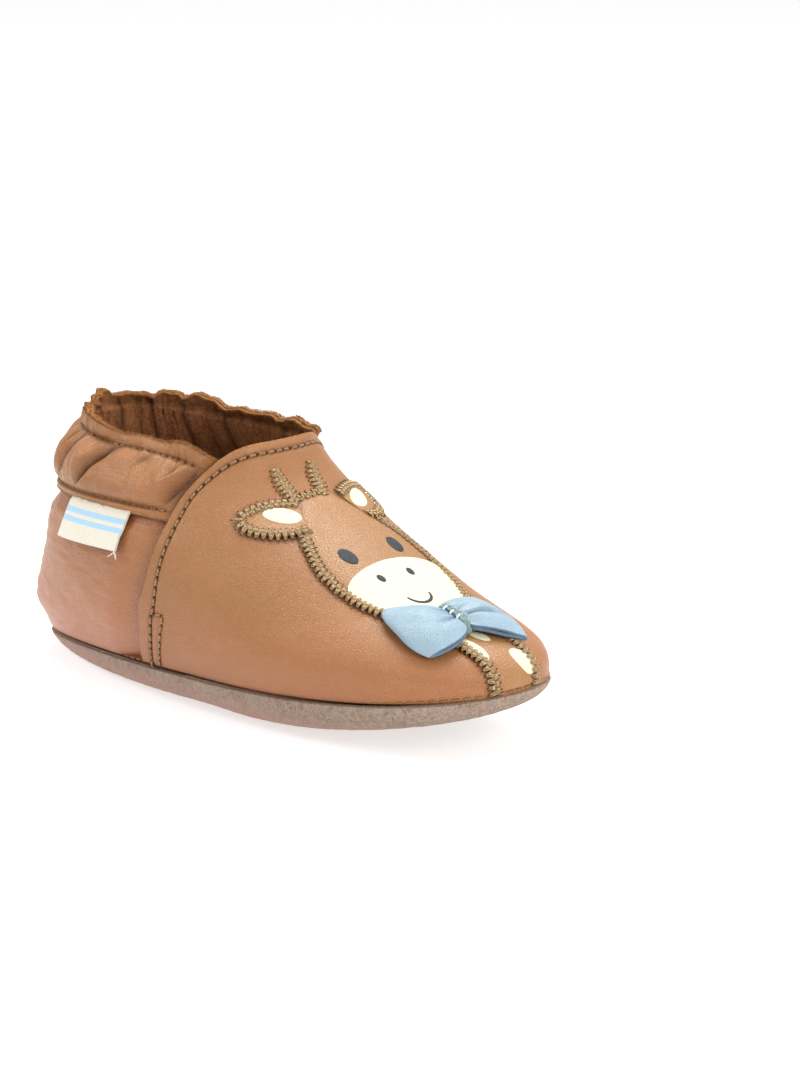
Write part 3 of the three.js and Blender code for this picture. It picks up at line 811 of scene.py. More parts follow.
# The sole's pink tint is painted bounce light from the floor.
sole_suede = suede_material("sole_suede", "#6a574b", "#a69283", 0.5, "#c0938a", 0.3)
sole_inside = suede_material("sole_inside", "#4a2f1c", "#6d4a30", 0.5)
brown_thread = thread_material("brown_thread", "#75522e", "#b8925e")
pale_thread = thread_material("pale_thread", "#73502e", "#b28b5a")
satin_thread = thread_material("satin_thread", "#76562c", "#dcbc88", 0.36, 1.1)
tack_thread = thread_material("tack_thread", "#6f8788", "#a9bcbc", 0.4, 0.8)
# Pale thread for the stitches across the tack, painted near white as glints.
painted_glint_thread = thread_material("painted_glint_thread", "#c9d9e4", "#ffffff", 0.3, 1.0)
painted_hole_shade = plain_material("painted_hole_shade", "#3a1e10", 0.9)
FILMS = {
    "cream_film": film_material("cream_film", "#d8d4b4", 0.6, 0.4),
    "slate_film": film_material("slate_film", "#23282d", 0.55, 1.0),
}
label_cloth = cloth_material("label_cloth")
label_fray = plain_material("label_fray", "#e4ddcb", 0.8)
elastic_cloth = plain_material("elastic_cloth", "#d9cfbd", 0.8)
foam = plain_material("foam", "#ded5c2", 0.9)
seam_thread = plain_material("seam_thread", "#7d6850", 0.6)


def place_piece(obj, slot, *nodes, body="shoe"):
    """Rides a piece on its body and hides the CAD nodes that it replaces. slot is not used."""
    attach(obj, body)
    if nodes:
        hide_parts(*nodes)


# ---- Lines of stitching ----


def make_holes(name, centres, up, radius):
    """Needle holes as painted shade: small dark flat buttons sunk in the leather."""
    side = unit(np.cross(up, np.array([0.3, 0.5, 0.8])))
    other = np.cross(up, side)
    turn = np.linspace(0, 2 * math.pi, 8, endpoint=False)
    offsets = side[:, None] * np.cos(turn)[:, None] + other[:, None] * np.sin(turn)[:, None]
    rings = []
    for size, lift in ((0.4, -0.18), (1.0, 0.0), (0.6, 0.13)):
        rings.append(centres[:, None] + offsets * radius * size + up[:, None] * lift)
    vertices = np.stack(rings, axis=1)
    body = grid_quads(3, 8, wrapped=True)
    cap = np.array([[0, 7, 2, 1], [7, 6, 3, 2], [6, 5, 4, 3]])
    faces = np.concatenate([body, cap, cap[:, ::-1] + 16])
    shift = (np.arange(len(centres)) * 24)[:, None, None]
    obj = make_mesh(name, vertices, [(faces[None] + shift).reshape(-1, 4)], [painted_hole_shade])
    place_piece(obj, "brown_thread")


def running_stitches(name, path, normals, material, pitch=STITCH_PITCH, radius=THREAD_RADIUS,
                     pricked=True):
    """Short rounded stitches that dip into the leather at both ends, in pricked holes or without."""
    holes, index = stitch_places(path, pitch)
    t = np.linspace(0, 1, STITCH_STEPS)
    margin = (1 - STITCH_LENGTH / STITCH_PITCH) / 2
    inside = lerp(margin, 1 - margin, t)
    at = index[:-1, None] + (index[1:] - index[:-1])[:, None] * inside
    points = read_path(path, at)
    ups = unit(read_path(normals, at))
    arch = radius * 0.55 - (radius * 2.6) * np.abs(2 * t - 1) ** 5
    if pricked:
        up = unit(read_path(normals, index))
        make_holes(name + "_holes", holes + up * 0.02, up, HOLE_RADIUS)
    return tubes(name, points + ups * arch[None, :, None], ups, radius, 10, material)


def vamp_edge_path():
    """Angles and levels of the stitches along the vamp's edge, from seam to seam."""
    angle = EDGE_STITCH_ANGLE * np.sin(np.radians(np.linspace(-90, 90, 1600)))
    level = EDGE_STITCH_TOP * (1 - (np.abs(angle) / EDGE_STITCH_ANGLE) ** VAMP_POWER)
    return angle, level


def side_tack_path(side):
    """Angles and levels of the tack: up beside the edge stitches, then across to them."""
    rise = np.linspace(0.6, SIDE_TACK_TOP, 140)
    up = edge_angle(rise) - SIDE_TACK_INSET
    level = np.full(30, SIDE_TACK_TOP)
    across = edge_angle(SIDE_TACK_TOP) - np.linspace(SIDE_TACK_INSET, SIDE_TACK_END, 30)
    return side * np.concatenate([up, across]), np.concatenate([rise, level])


# ---- Vamp ----


def face_line(side, low=0.0, high=54.0):
    """Ridge coordinates along one side of the face."""
    s = np.linspace(low, high, 500)
    return s, side * face_half(s)


def ear_line(side):
    """Ridge coordinates round one ear."""
    s, y = curve_through(EAR_LINE, 420).T
    return s, side * y


def vamp_heights(level, points):
    """Relief of the vamp's outside, and its painted shade in grooves, needle holes, at the seam and under
    the satin stitching.
    """
    stitches = on_skin(*vamp_edge_path(), 0.0)
    holes, _ = stitch_places(stitches)
    near_line = distance_to(points, stitches[::4])
    near_hole = distance_to(points, holes)
    height = vamp_wave(points)
    height -= GROOVE_DEPTH * bell(near_line, GROOVE_WIDTH)
    height -= PIT_DEPTH * bell(near_hole, PIT_WIDTH)
    shade = 0.25 * bell(near_line, GROOVE_WIDTH * 0.8) + 0.9 * bell(near_hole, PIT_WIDTH * 1.1)
    for side in (-1, 1):
        tack = on_skin(*side_tack_path(side), 0.0)
        holes, _ = stitch_places(tack)
        height -= 0.7 * GROOVE_DEPTH * bell(distance_to(points, tack[::3]), GROOVE_WIDTH)
        shade += 0.7 * bell(distance_to(points, holes), PIT_WIDTH)
    height -= SEAM_TUCK * np.exp(-level / 0.9)
    shade += 0.35 * np.exp(-level / 0.5)
    lines = [line(side) for line in (face_line, ear_line) for side in (-1, 1)]
    satin_points = [on_skin(*vamp_place(*line), 0.0)[::3] for line in lines]
    near_satin = distance_to(points, np.concatenate(satin_points))
    height -= 0.3 * bell(near_satin, 1.3)
    shade += 0.6 * (1 - fade(near_satin, 0.8, SATIN_HALF_WIDTH + 0.2))
    return height, shade


def make_vamp():
    even = np.linspace(-1, 1, 381)
    part = lerp(even, np.sin(np.radians(90 * even)), 0.6)
    angle = part[None, :] * VAMP_ANGLE * 0.995
    v = np.linspace(0, 1, 190)[:, None]
    level = v ** 1.15 * edge_level(angle)
    angle = np.broadcast_to(angle, level.shape)
    height, shade = vamp_heights(level, skin(angle, np.maximum(level, LOWEST)))
    outer = on_skin(angle, level, height)
    inner = on_skin(angle, level, np.minimum(height, 0.2) - LEATHER)
    shade = np.clip(shade, 0, 1)
    obj = shell("vamp_upper", outer, inner, [vamp_leather, lining_suede, raw_edge], shade=shade)
    place_piece(obj, "tan_leather", "vamp")


def sew_vamp(name, angle, level, depth, material, node):
    """Stitches along a line on the vamp, sunk by depth."""
    path = on_skin(angle, level, vamp_wave(skin(angle, level)) - depth)
    obj = running_stitches(name, path, skin_normals(angle, level), material)
    place_piece(obj, "brown_thread", node)


def make_vamp_stitches():
    angle, level = vamp_edge_path()
    sew_vamp("vamp_edge_stitches", angle, level, GROOVE_DEPTH * 0.6, pale_thread, "vamp_edge_thread")
    for side, word in SIDES:
        angle, level = side_tack_path(side)
        sew_vamp(f"side_tack_stitches_{word}", angle, level, 0.1, brown_thread, f"side_tack_{word}")


# ---- Quarter ----


def make_quarter():
    top = HEM_LEVEL + 3.2
    level = (np.linspace(0, 1, 120)[:, None] ** 1.1) * top
    even = np.linspace(0, 1, 361)[None, :]
    eased = even - 0.11 * np.sin(2 * np.pi * even)
    start = edge_angle(level) - QUARTER_OVERLAP
    angle = wrap(start + (360 - 2 * start) * eased)
    level = np.broadcast_to(level, angle.shape)
    base = skin(angle, np.maximum(level, LOWEST))
    under = -UNDER_VAMP * tuck(angle, level) - 1.2 * fade(level, HEM_LEVEL - 4.5, HEM_LEVEL - 0.6)
    sag = 0.45 * noise(base * [0.6, 0.6, 1.3], 9, 11) + 0.15 * noise(base * [0.5, 0.5, 2], 2.4, 12)
    sag = sag * (1 - tuck(angle, level)) * fade(level, 0, 4)
    height = under + sag - SEAM_TUCK * np.exp(-level / 0.9)
    behind = np.abs(angle) - edge_angle(level)
    # Painted shade at the seam, in the shadow of the vamp's edge and under the collar.
    shade = 0.35 * np.exp(-level / 0.5) + 0.55 * bell(behind, 2.2)
    shade = np.clip(shade + 0.5 * fade(level, HEM_LEVEL - 2.0, HEM_LEVEL), 0, 1)
    outer = on_skin(angle, level, height)
    inner = on_skin(angle, level, height - LEATHER)
    obj = shell("quarter_upper", outer, inner, [quarter_leather, lining_suede, raw_edge], shade=shade)
    place_piece(obj, "tan_leather", "quarter")


# ---- Collar ----


def collar_span(angle):
    return rim_level(angle) - HEM_LEVEL


def rim_stitch_part(angle):
    """Where the rim's stitches run, as a part of the way from the hem to the rim."""
    return 1 - RIM_STITCH_DROP / collar_span(angle)


def sunk(height, under):
    """Height of a piece that goes below the vamp where under is 1."""
    return height * (1 - under) - UNDER_VAMP * under


def pleat_depth(angle, rise, crisp=0.75):
    """How deep the gathers cut, 0..1. rise is 0 at the hem stitches and 1 at the rim stitches."""
    depth = np.zeros(np.broadcast(angle, rise).shape)
    for top, bottom, strength, reach in PLEATS:
        middle = bottom + (top - bottom) * np.clip(rise, -0.2, 1.6) + 1.1 * np.sin(rise * 4 + top)
        gap = np.abs((angle - middle + 180) % 360 - 180)
        sharp = crisp * np.exp(-np.sqrt(gap * gap + 0.04))
        broad = 0.5 * np.exp(-(gap / 4.2) ** 2)
        run = fade(rise, 1 - reach - 0.12, 1 - reach + 0.35)
        depth = np.maximum(depth, strength * (sharp + broad) * run)
    return np.clip(depth, 0, 1)


def collar_shape(angle, part):
    """Height over the skin, level and painted shade of the collar, part 0 at the hem and 1 at the rim."""
    span = collar_span(angle)
    hem_line = HEM_STITCH_RISE / span
    rim_line = rim_stitch_part(angle)
    rise = (part - hem_line) / (rim_line - hem_line)
    inside = np.clip(rise, 0, 1)
    above = np.clip((part - rim_line) / (1 - rim_line), 0, 1)
    below = np.clip((hem_line - part) / hem_line, 0, 1)
    tag = np.stack(np.broadcast_arrays(angle * 0.5, part * span * 0.6, 0 * part), axis=-1)
    around = np.stack(np.broadcast_arrays(angle * 0.5, 0 * part, 0 * part), axis=-1)
    dome = np.sin(np.pi * inside) ** 0.55 * (1.12 - 0.24 * inside)
    depth = pleat_depth(angle, rise)
    puff = COLLAR_PUFF * (1 + 0.28 * noise(tag, 4.4, 22))
    height = puff * dome * (1 - 0.95 * depth)
    lumps = 0.32 * noise(tag * [1, 1.2, 1], 2.3, 24) + 0.1 * noise(tag * [1, 0.7, 1], 1.0, 26)
    height = height + dome * lumps
    near_rim = np.exp(-np.abs(part - rim_line) * span / 2.6)
    near_hem = np.exp(-np.abs(part - hem_line) * span / 1.8)
    height = height + (0.5 * near_rim + 0.2 * near_hem) * noise(tag * [1, 0.35, 1], 1.05, 25)
    gather = pleat_depth(angle, np.ones_like(rise), 0.0)
    heel = fade(np.abs(angle), 120, 160)
    curl = RUFFLE_FLARE + (1.1 + 0.7 * heel) * noise(around + [0, 0, 5], 5.0, 21)
    curl = curl + 0.22 * noise(tag, 2.2, 28)
    height = height + above ** 0.8 * (curl - 2.2 * gather)
    height = height + 0.35 * np.sin(np.pi * above) + 0.55 * np.sin(np.pi * np.minimum(below * 1.2, 1))
    line = bell((part - rim_line) * span, 0.45) + bell((part - hem_line) * span, 0.45)
    height = height - 0.3 * line
    rim_wave = 0.8 * noise(around, 8.0, 23) + 0.15 * noise(around, 2.6, 27) - 0.5 * gather
    level = HEM_LEVEL + part * span + above * rim_wave
    # Painted shade in the gathers, in the ruffle's folds and along the stitch lines.
    shade = 0.95 * depth ** 1.5 * np.clip(dome * 1.6, 0, 1) + 0.55 * gather * above + 0.4 * line
    return height, level, np.clip(shade, 0, 1)


def collar_grid(cols, rows, low, high):
    """Angles and parts of the collar's height, from one front end round the heel to the other."""
    part = np.linspace(low, high, rows)[:, None]
    start = lerp(COLLAR_FRONT_LOW, COLLAR_FRONT_HIGH, part)
    even = np.linspace(0, 1, cols)[None, :]
    angle = wrap(start + (360 - 2 * start) * even)
    return angle, np.broadcast_to(part, angle.shape)


def make_collar():
    angle, part = collar_grid(COLLAR_COLUMNS, COLLAR_ROWS, 0, 1)
    height, level, shade = collar_shape(angle, part)
    height = sunk(height, tuck(angle, level))
    outer = on_skin(angle, level, height)
    inner = on_skin(angle, level, height - COLLAR_LEATHER)
    materials = [collar_leather, lining_suede, raw_edge]
    obj = shell("collar_leather_outer", outer, inner, materials, shade=shade, edge_bulge=0.5)
    place_piece(obj, "tan_leather", "collar")
    return outer


def make_lining():
    """Suede that hangs loose inside the collar and is pressed to it above the rim's stitches."""
    angle, part = collar_grid(900, 110, 0.12, 0.992)
    height, level, _ = collar_shape(angle, part)
    under = tuck(angle, level)
    rim_line = rim_stitch_part(angle)
    pressed = fade(part, rim_line - 0.38, rim_line + 0.1)
    folds = pleat_depth(angle, np.full_like(part, 0.9))
    tag = np.stack([angle * 0.5, part * 2.2, 0 * part], axis=-1)
    loose = -LINING_DEPTH - 0.45 * noise(tag, 3.4, 31) + 0.7 * folds * (1 - 0.3 * part)
    at_line, _, _ = collar_shape(angle, rim_line)
    leather = np.where(part < rim_line, sunk(at_line, under), sunk(height, under))
    outside = lerp(loose - 1.2 * under, leather - COLLAR_LEATHER - 0.04, pressed)
    past_line = (part - rim_line) * collar_span(angle)
    ledge = bell(past_line - 0.9, 0.8)
    outer = on_skin(angle, level, outside)
    inner = on_skin(angle, level, outside - LINING_THICKNESS + 0.25 * ledge)
    # Painted shade in the lining's folds and along its ledge by the rim stitches.
    dark = np.clip(0.35 * ledge + 0.75 * folds ** 1.5, 0, 1)
    materials = [lining_suede, lining_suede, raw_edge]
    obj = shell("collar_lining_suede", outer, inner, materials, inner_shade=dark)
    golden = np.zeros(len(obj.data.vertices))
    golden[part.size:2 * part.size] = fade(past_line, 1.4, RIM_STITCH_DROP).ravel()
    add_attribute(obj.data, "golden", golden)
    place_piece(obj, "suede_lining", "collar_lining")
    return inner


def make_elastic():
    """Gathered webbing hidden in the channel between collar and lining."""
    angle = wrap(np.linspace(66, 294, 500))[None, :]
    rise = np.linspace(-ELASTIC_HALF, ELASTIC_HALF, 14)[:, None]
    middle = HEM_LEVEL + 0.45 * collar_span(angle)
    ripple = 0.08 * np.sin(np.radians(angle % 360) * 70)
    angle, level = np.broadcast_arrays(angle, middle + rise)
    under = UNDER_VAMP * tuck(angle, level)
    outer, inner = (on_skin(angle, level, ripple - depth - under) for depth in ELASTIC_DEPTHS)
    obj = shell("elastic_webbing", outer, inner, [elastic_cloth] * 3)
    place_piece(obj, "elastic", "elastic_band")


def sew_collar(name, node, start, rise_at):
    """Stitches round the collar from an angle, at a height over the hem that rise_at gives."""
    angle = wrap(np.linspace(start, 360 - start, 1800))
    span = collar_span(angle)
    height, level, _ = collar_shape(angle, rise_at(span) / span)
    path = on_skin(angle, level, sunk(height, tuck(angle, level)))
    obj = running_stitches(name, path, skin_normals(angle, level), pale_thread, COLLAR_STITCH_PITCH)
    place_piece(obj, "brown_thread", node)


def make_collar_stitches():
    sew_collar("rim_stitches", "rim_thread", 60, lambda span: span - RIM_STITCH_DROP)
    sew_collar("hem_stitches", "hem_thread", 74, lambda span: HEM_STITCH_RISE)


def make_fuzz(name, points, upwards, count, length, seed):
    """Short curved fibres that stand up (1) or hang down (-1) from a raw edge."""
    rng = np.random.RandomState(seed)
    pick = rng.randint(0, len(points), count)
    root = points[pick] + rng.normal(0, 0.12, (count, 3))
    way = unit(np.array([0.0, 0.0, upwards]) + rng.normal(0, 0.75, (count, 3)))
    size = length * rng.uniform(0.4, 1.3, (count, 1))
    bend = unit(rng.normal(0, 1, (count, 3))) * size * 0.45
    side = unit(np.cross(way, rng.normal(0, 1, (count, 3))))
    other = np.cross(way, side)
    turns = np.radians([0, 120, 240])
    rings = []
    for far, thick, push in FIBRE_PROFILE:
        centre = root + way * size * far + bend * push
        for a in turns:
            rings.append(centre + (side * math.cos(a) + other * math.sin(a)) * thick)
    vertices = np.stack(rings, axis=1)
    quads = grid_quads(3, 3, wrapped=True)
    caps = np.array([[2, 1, 0], [6, 7, 8]])
    shift = (np.arange(count) * 9)[:, None, None]
    faces = [(quads[None] + shift).reshape(-1, 4), (caps[None] + shift).reshape(-1, 3)]
    obj = make_mesh(name, vertices, faces, [raw_edge])
    place_piece(obj, "suede_lining")


def make_rim_fuzz(collar, lining):
    """Fibres on the raw edges of rim and hem. Given: the collar's outside and the lining's inside."""
    beside = np.linspace(0, lining.shape[1] - 1, collar.shape[1]).astype(int)
    rim = np.concatenate([collar[-1], lining[-1], (collar[-1] + lining[-1][beside]) / 2])
    make_fuzz("rim_fuzz", rim, 1.0, 15000, 0.45, 71)
    make_fuzz("hem_fuzz", collar[0], -1.0, 1500, 0.25, 72)


# ---- Sole ----


def sole_grid(cols, ratios, depth, reach=1.0):
    """Points of the sole's underside, their normals and ratios, and the points depth above them."""
    angle = np.linspace(-180, 180, cols, endpoint=False)[None, :]
    ratio = np.clip(ratios[:, None] * reach, 0.004, 0.9985)
    angle, ratio = np.broadcast_arrays(angle, ratio)
    base = sole_skin(angle, ratio)
    normal = surface_normals(sole_skin, angle, ratio, 0.4, 0.0006)
    return base, normal, ratio, base - normal * depth


def close_middle(obj, cols, rows):
    """Closes the tiny hole in the middle of a round grid, above and below."""
    mesh = obj.data
    count = cols * rows
    co = np.empty(len(mesh.vertices) * 3, np.float32)
    mesh.vertices.foreach_get("co", co)
    co = co.reshape(-1, 3)
    for start in (0, count):
        co[start:start + cols] = co[start:start + cols].mean(axis=0)
    mesh.vertices.foreach_set("co", co.ravel())


def make_sole():
    ratios = 1 - (1 - np.linspace(0, 1, 110)) ** 1.7
    base, normal, ratio, inner = sole_grid(560, ratios, SOLE_THICKNESS)
    raise_to_seam = np.array([0, 0, GAP]) * fade(ratio, 0.93, 1.0)[..., None]
    base = base + raise_to_seam
    inner = inner + raise_to_seam
    rough = 0.07 * noise(base, 0.9, 41) + 0.12 * fade(ratio, 0.9, 1.0) * noise(base, 3.5, 42)
    outer = raised(base, normal, rough * fade(base[..., 2], 0.15, 1.2))
    obj = shell("outsole_suede", outer, inner, [sole_suede, sole_inside, sole_suede], wrapped=True)
    close_middle(obj, 560, len(ratios))
    place_piece(obj, "suede_sole", "outsole")


def make_insole():
    depth = SOLE_THICKNESS + GAP + FOAM_THICKNESS + GAP
    base, normal, _, lower = sole_grid(300, np.linspace(0, 1, 60), depth, INSOLE_REACH)
    rough = 0.15 * noise(base, 6, 51)
    upper = raised(base, normal, -(depth + INSOLE_THICKNESS + rough))
    obj = shell("insole_suede", lower, upper, [lining_suede] * 3, wrapped=True)
    place_piece(obj, "suede_lining", "insole")


def make_foam():
    """Thin foam between the sole and the insole."""
    ratios = np.linspace(0, 1, 50)
    base, normal, _, lower = sole_grid(240, ratios, SOLE_THICKNESS + GAP, FOAM_REACH)
    crown = FOAM_THICKNESS * np.sqrt(1 - 0.8 * ratios[:, None] ** 8)
    upper = raised(base, normal, -(SOLE_THICKNESS + GAP + crown))
    obj = shell("foam_pad", lower, upper, [foam] * 3, wrapped=True)
    close_middle(obj, 240, len(ratios))
    place_piece(obj, "foam", "insole_foam")


def make_seam_stitches():
    """The sole seam's thread, just showing in the groove between sole and upper."""
    angle = np.linspace(-180, 179.8, 2400)
    level = np.full_like(angle, 0.05)
    path = on_skin(angle, level, -0.42) + np.array([0, 0, 0.28])
    normals = skin_normals(angle, level)
    obj = running_stitches("sole_seam_stitches", path, normals, brown_thread, 2.3, 0.13, pricked=False)
    place_piece(obj, "seam_thread")


# ---- Applique ----


def lay_patch(name, s, y, bottom, top, materials, slot, node, shade=None):
    """A thin piece laid on the vamp. s and y are grids, heights are over the vamp."""
    lower = on_vamp(s, y, np.broadcast_to(bottom, s.shape))
    upper = on_vamp(s, y, np.broadcast_to(top, s.shape))
    obj = shell(name, upper, lower, materials, shade=shade, edge_bulge=0.5)
    place_piece(obj, slot, node)


def lay_leather(name, s, y, top, node, shade):
    """Leather applique with suede underneath."""
    materials = [face_leather, lining_suede, face_leather]
    lay_patch(name, s, y, 0.02, top, materials, "tan_leather", node, shade)


def make_face():
    """Face leather, thinned under the stitching along its sides and its upper end."""
    s = np.broadcast_to(np.linspace(0.8, FACE_TOP, 260)[:, None], (260, 90))
    part = np.linspace(-1, 1, 90)[None, :]
    y = part * face_half(s)
    inwards = (1 - np.abs(part)) * face_half(s)
    top = 0.12 + (APPLIQUE - 0.12) * (1 - bell(inwards, 1.6)) * (1 - bell(FACE_TOP - s, 1.6))
    # Painted shade under the satin stitching along the face's edges.
    shade = 0.6 * (1 - fade(inwards, 0.8, SATIN_HALF_WIDTH + 0.1))
    lay_leather("face_applique", s, y, top, "face", shade)


def disc_grid(rs, ry, rows, cols):
    """Square-cornered grid warped to an ellipse, so that it has no pole."""
    a, b = np.meshgrid(np.linspace(-1, 1, cols), np.linspace(-1, 1, rows), indexing="xy")
    y = a * np.sqrt(1 - b * b / 2)
    s = b * np.sqrt(1 - a * a / 2)
    return s * rs, y * ry


def make_ears():
    """Each ear's leather fills its outline, from the drawn line to a chord across the root."""
    line = curve_through(EAR_LINE, 81)
    low = line[:41]
    high = line[:39:-1]
    part = np.linspace(0, 1, 30)[:, None, None]
    grid = low[None] * (1 - part) + high[None] * part
    s = grid[..., 0]
    y = grid[..., 1]
    inwards = np.minimum(part[..., 0], 1 - part[..., 0]) * np.linalg.norm(low - high, axis=1)[None, :]
    top = 0.1 + (APPLIQUE - 0.1) * (1 - bell(inwards, 1.2))
    # Painted shade under the satin stitching round the ear.
    shade = 0.5 * (1 - fade(inwards, 0.7, SATIN_HALF_WIDTH))
    for side, word in SIDES:
        turned = slice(None, None, side)
        grids = [g[:, turned] for g in (s, side * y, top)]
        lay_leather(f"ear_applique_{word}", *grids, f"ear_{word}", shade[:, turned])


def lay_film(name, node, oval, side, base, slot, rows=26, cols=30, limit=None):
    """A film of oval outline. lean turns it: its s shifts with its y. limit keeps it inside the face."""
    ds, dy = disc_grid(oval["rs"], oval["ry"], rows, cols)
    s = oval["s"] + ds + oval.get("lean", 0) * dy
    y = side * (oval["y"] + dy)
    if limit is not None:
        y = np.clip(y, -face_half(s) + limit, face_half(s) - limit)
    if side < 0:
        s, y = s[:, ::-1], y[:, ::-1]
    outwards = (ds / oval["rs"]) ** 2 + (dy / oval["ry"]) ** 2
    top = base + FILM * (1 - 0.5 * outwards ** 4)
    lay_patch(name, s, y, base - 0.05, top, [FILMS[slot]] * 3, slot, node)


def make_films():
    lay_film("muzzle_film", "muzzle", MUZZLE, 1, APPLIQUE, "cream_film", 60, 76, 0.5)
    for side, word in SIDES:
        lay_film(f"inner_ear_film_{word}", f"inner_ear_{word}", INNER_EAR, side, APPLIQUE, "cream_film")
        lay_film(f"eye_film_{word}", f"eye_{word}", EYE, side, APPLIQUE, "slate_film")
        nostril = dict(NOSTRIL, y=NOSTRIL["y"] + side * NOSTRIL_MIDDLE)
        lay_film(f"nostril_film_{word}", f"nostril_{word}", nostril, side, APPLIQUE + FILM, "slate_film")
    for i, spot in enumerate(SPOTS, 1):
        lay_film(f"body_spot_film_{i}", f"body_spot_{i}", spot, 1, APPLIQUE - 0.1, "cream_film")


def make_smile():
    turn = np.radians(np.linspace(-172, -8, 60))[None, :]
    across = np.linspace(-1, 1, 5)[:, None]
    half = SMILE["half_width"] * np.sin(np.linspace(0.25, math.pi - 0.25, 60))[None, :] ** 0.6
    s = SMILE["s"] + (SMILE["rs"] + half * across) * np.sin(turn)
    y = SMILE["y"] + (SMILE["ry"] + half * across) * np.cos(turn)
    base = APPLIQUE + FILM
    materials = [FILMS["slate_film"]] * 3
    lay_patch("smile_film", s[::-1], y[::-1], base - 0.05, base + 0.1, materials, "slate_film", "smile")


# ---- Satin stitching ----


def zigzag(name, node, s, y, halves=(SATIN_HALF_WIDTH,) * 2, pitch=SATIN_PITCH, base=SATIN_BASE):
    """Zigzag of doubled thread along a line of ridge coordinates. halves: its half width along the line."""
    line = on_vamp(s, y, np.full(s.shape, base))
    length = path_length(line)
    teeth = max(3, int(length[-1] / pitch))
    knots = np.linspace(0, length[-1], 2 * teeth + 1)
    s_at = np.interp(knots, length, s)
    y_at = np.interp(knots, length, y)
    up = vamp_normals(s_at, y_at)
    centre = on_vamp(s_at, y_at, np.full(s_at.shape, base))
    forward = unit(np.gradient(centre, axis=0))
    across = np.cross(up, forward)
    rng = np.random.RandomState(len(s) + int(abs(s[0]) * 7) + int(abs(y[0]) * 13))
    sign = np.where(np.arange(len(knots)) % 2 == 0, 1.0, -1.0)
    reach = np.interp(np.linspace(0, 1, len(knots)), np.linspace(0, 1, len(halves)), halves)
    reach = reach * (1 + rng.uniform(-0.1, 0.14, len(knots)))
    ends = centre + across * (sign * reach)[:, None]
    paths, ups = zigzag_threads(ends, up, forward, rng)
    obj = tubes(name, paths, ups, SATIN_RADIUS, 8, satin_thread)
    place_piece(obj, "brown_thread", node)
    holes = ends + across * (sign * 0.1)[:, None] - up * 0.12
    make_holes(name + "_holes", holes, up, SATIN_HOLE_RADIUS)


def zigzag_threads(ends, up, forward, rng):
    """Paths and normals of the arched threads from each end to the next, two plies side by side."""
    t = np.linspace(0, 1, 11)
    arch = SATIN_ARCH * np.sin(np.pi * t) ** 0.7 - 0.42 * np.abs(2 * t - 1) ** 6
    start, end = (1 - t)[None, :, None], t[None, :, None]
    ups = unit(up[:-1, None] * start + up[1:, None] * end)
    straight = ends[:-1, None] * start + ends[1:, None] * end
    paths = []
    for shift, drop in SATIN_PLIES:
        wobble = rng.uniform(-0.06, 0.06, (len(straight), 1, 1))
        spread = (shift + wobble) * (0.25 + 0.75 * np.sin(np.pi * t) ** 0.5)[None, :, None]
        paths.append(straight + forward[:-1, None] * spread + ups * (arch - drop)[None, :, None])
    return np.concatenate(paths), np.concatenate([ups] * len(paths))


def make_satin():
    for side, word in SIDES:
        zigzag(f"face_zigzag_{word}", f"face_satin_{word}", *face_line(side, 0.4, 54.5))
        zigzag(f"ear_zigzag_{word}", f"ear_satin_{word}", *ear_line(side))
        s = np.linspace(HORN_LOW, HORN_HIGH, 60)
        y = HORN_MIDDLE + side * np.linspace(*HORN_Y, 60)
        zigzag(f"horn_zigzag_{word}", f"horn_satin_{word}", s, y, HORN_HALF, 1.0, 0.2)
    y = np.linspace(-3.4, 3.4, 60)
    s = 66.2 + 0.06 * y
    zigzag("forehead_zigzag", "forehead_satin", s, HORN_MIDDLE + y, (0.9, 1.2, 0.9), 1.5, 0.3)


# ---- Bow ----


def wing_sheets(side):
    """Outside and inside of one wing: a leaf folded over at the tip and pinched at the knot."""
    wing = WINGS[side]
    t = np.linspace(-1, 1, 150)[:, None]
    v = np.linspace(-1, 1, 90)[None, :]
    fold = np.sqrt(t * t + WING_FOLD * WING_FOLD)
    a = 1 - (fold - WING_FOLD) / (math.hypot(1, WING_FOLD) - WING_FOLD)
    leaf = -t / fold
    half = lerp(WING_ROOT_HALF, wing["half"], a ** 0.45)
    puff = np.sin(np.pi * np.clip(a * 0.9 + 0.03, 0, 1)) ** 0.8
    crown = 1 - wing["close"] * np.abs(v) ** 3
    creases = np.zeros((150, 90))
    for where, depth, reach in wing["creases"]:
        line = where * (0.5 + 0.5 * a)
        creases = creases + depth * bell(v - line, 0.07 + 0.09 * a) * np.clip(1 - a / reach, 0, 1) ** 0.7
    rise = np.where(leaf > 0, 0.5 + 2.1 * puff * crown - creases, 0.5 + 0.1 * puff)
    middle = 1.9 + 0.35 * (1 - a) - 0.5 * a * v * v
    tag = np.stack(np.broadcast_arrays(a * 10, v * 7, 3 * leaf), axis=-1)
    height = middle + leaf * rise + 0.2 * noise(tag, 2.6, 60 + side)
    tip = wing["tip"] + wing["slant"] * v - wing["round"] * v ** 4
    y = BOW_Y + side * (WING_ROOT + (tip - WING_ROOT) * a)
    s = BOW_S + half * v - wing["drop"] * a ** 1.3 + 0 * t
    outer = on_vamp(*np.broadcast_arrays(s, y), height)
    if side > 0:
        outer = outer[:, ::-1]
        creases = creases[:, ::-1]
    normal = grid_normals(outer)
    # Painted shade in the creases of the upper leaf.
    shade = np.clip(creases * 0.5 * (leaf > 0), 0, 1)
    return outer, outer - normal * BOW_LEATHER, shade


def make_wings():
    for side, word in SIDES:
        outer, inner, shade = wing_sheets(side)
        materials = [blue_leather, blue_edge, blue_edge]
        obj = shell(f"bow_wing_leather_{word}", outer, inner, materials, shade=shade)
        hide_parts(f"bow_wing_{word}")
        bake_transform(obj)


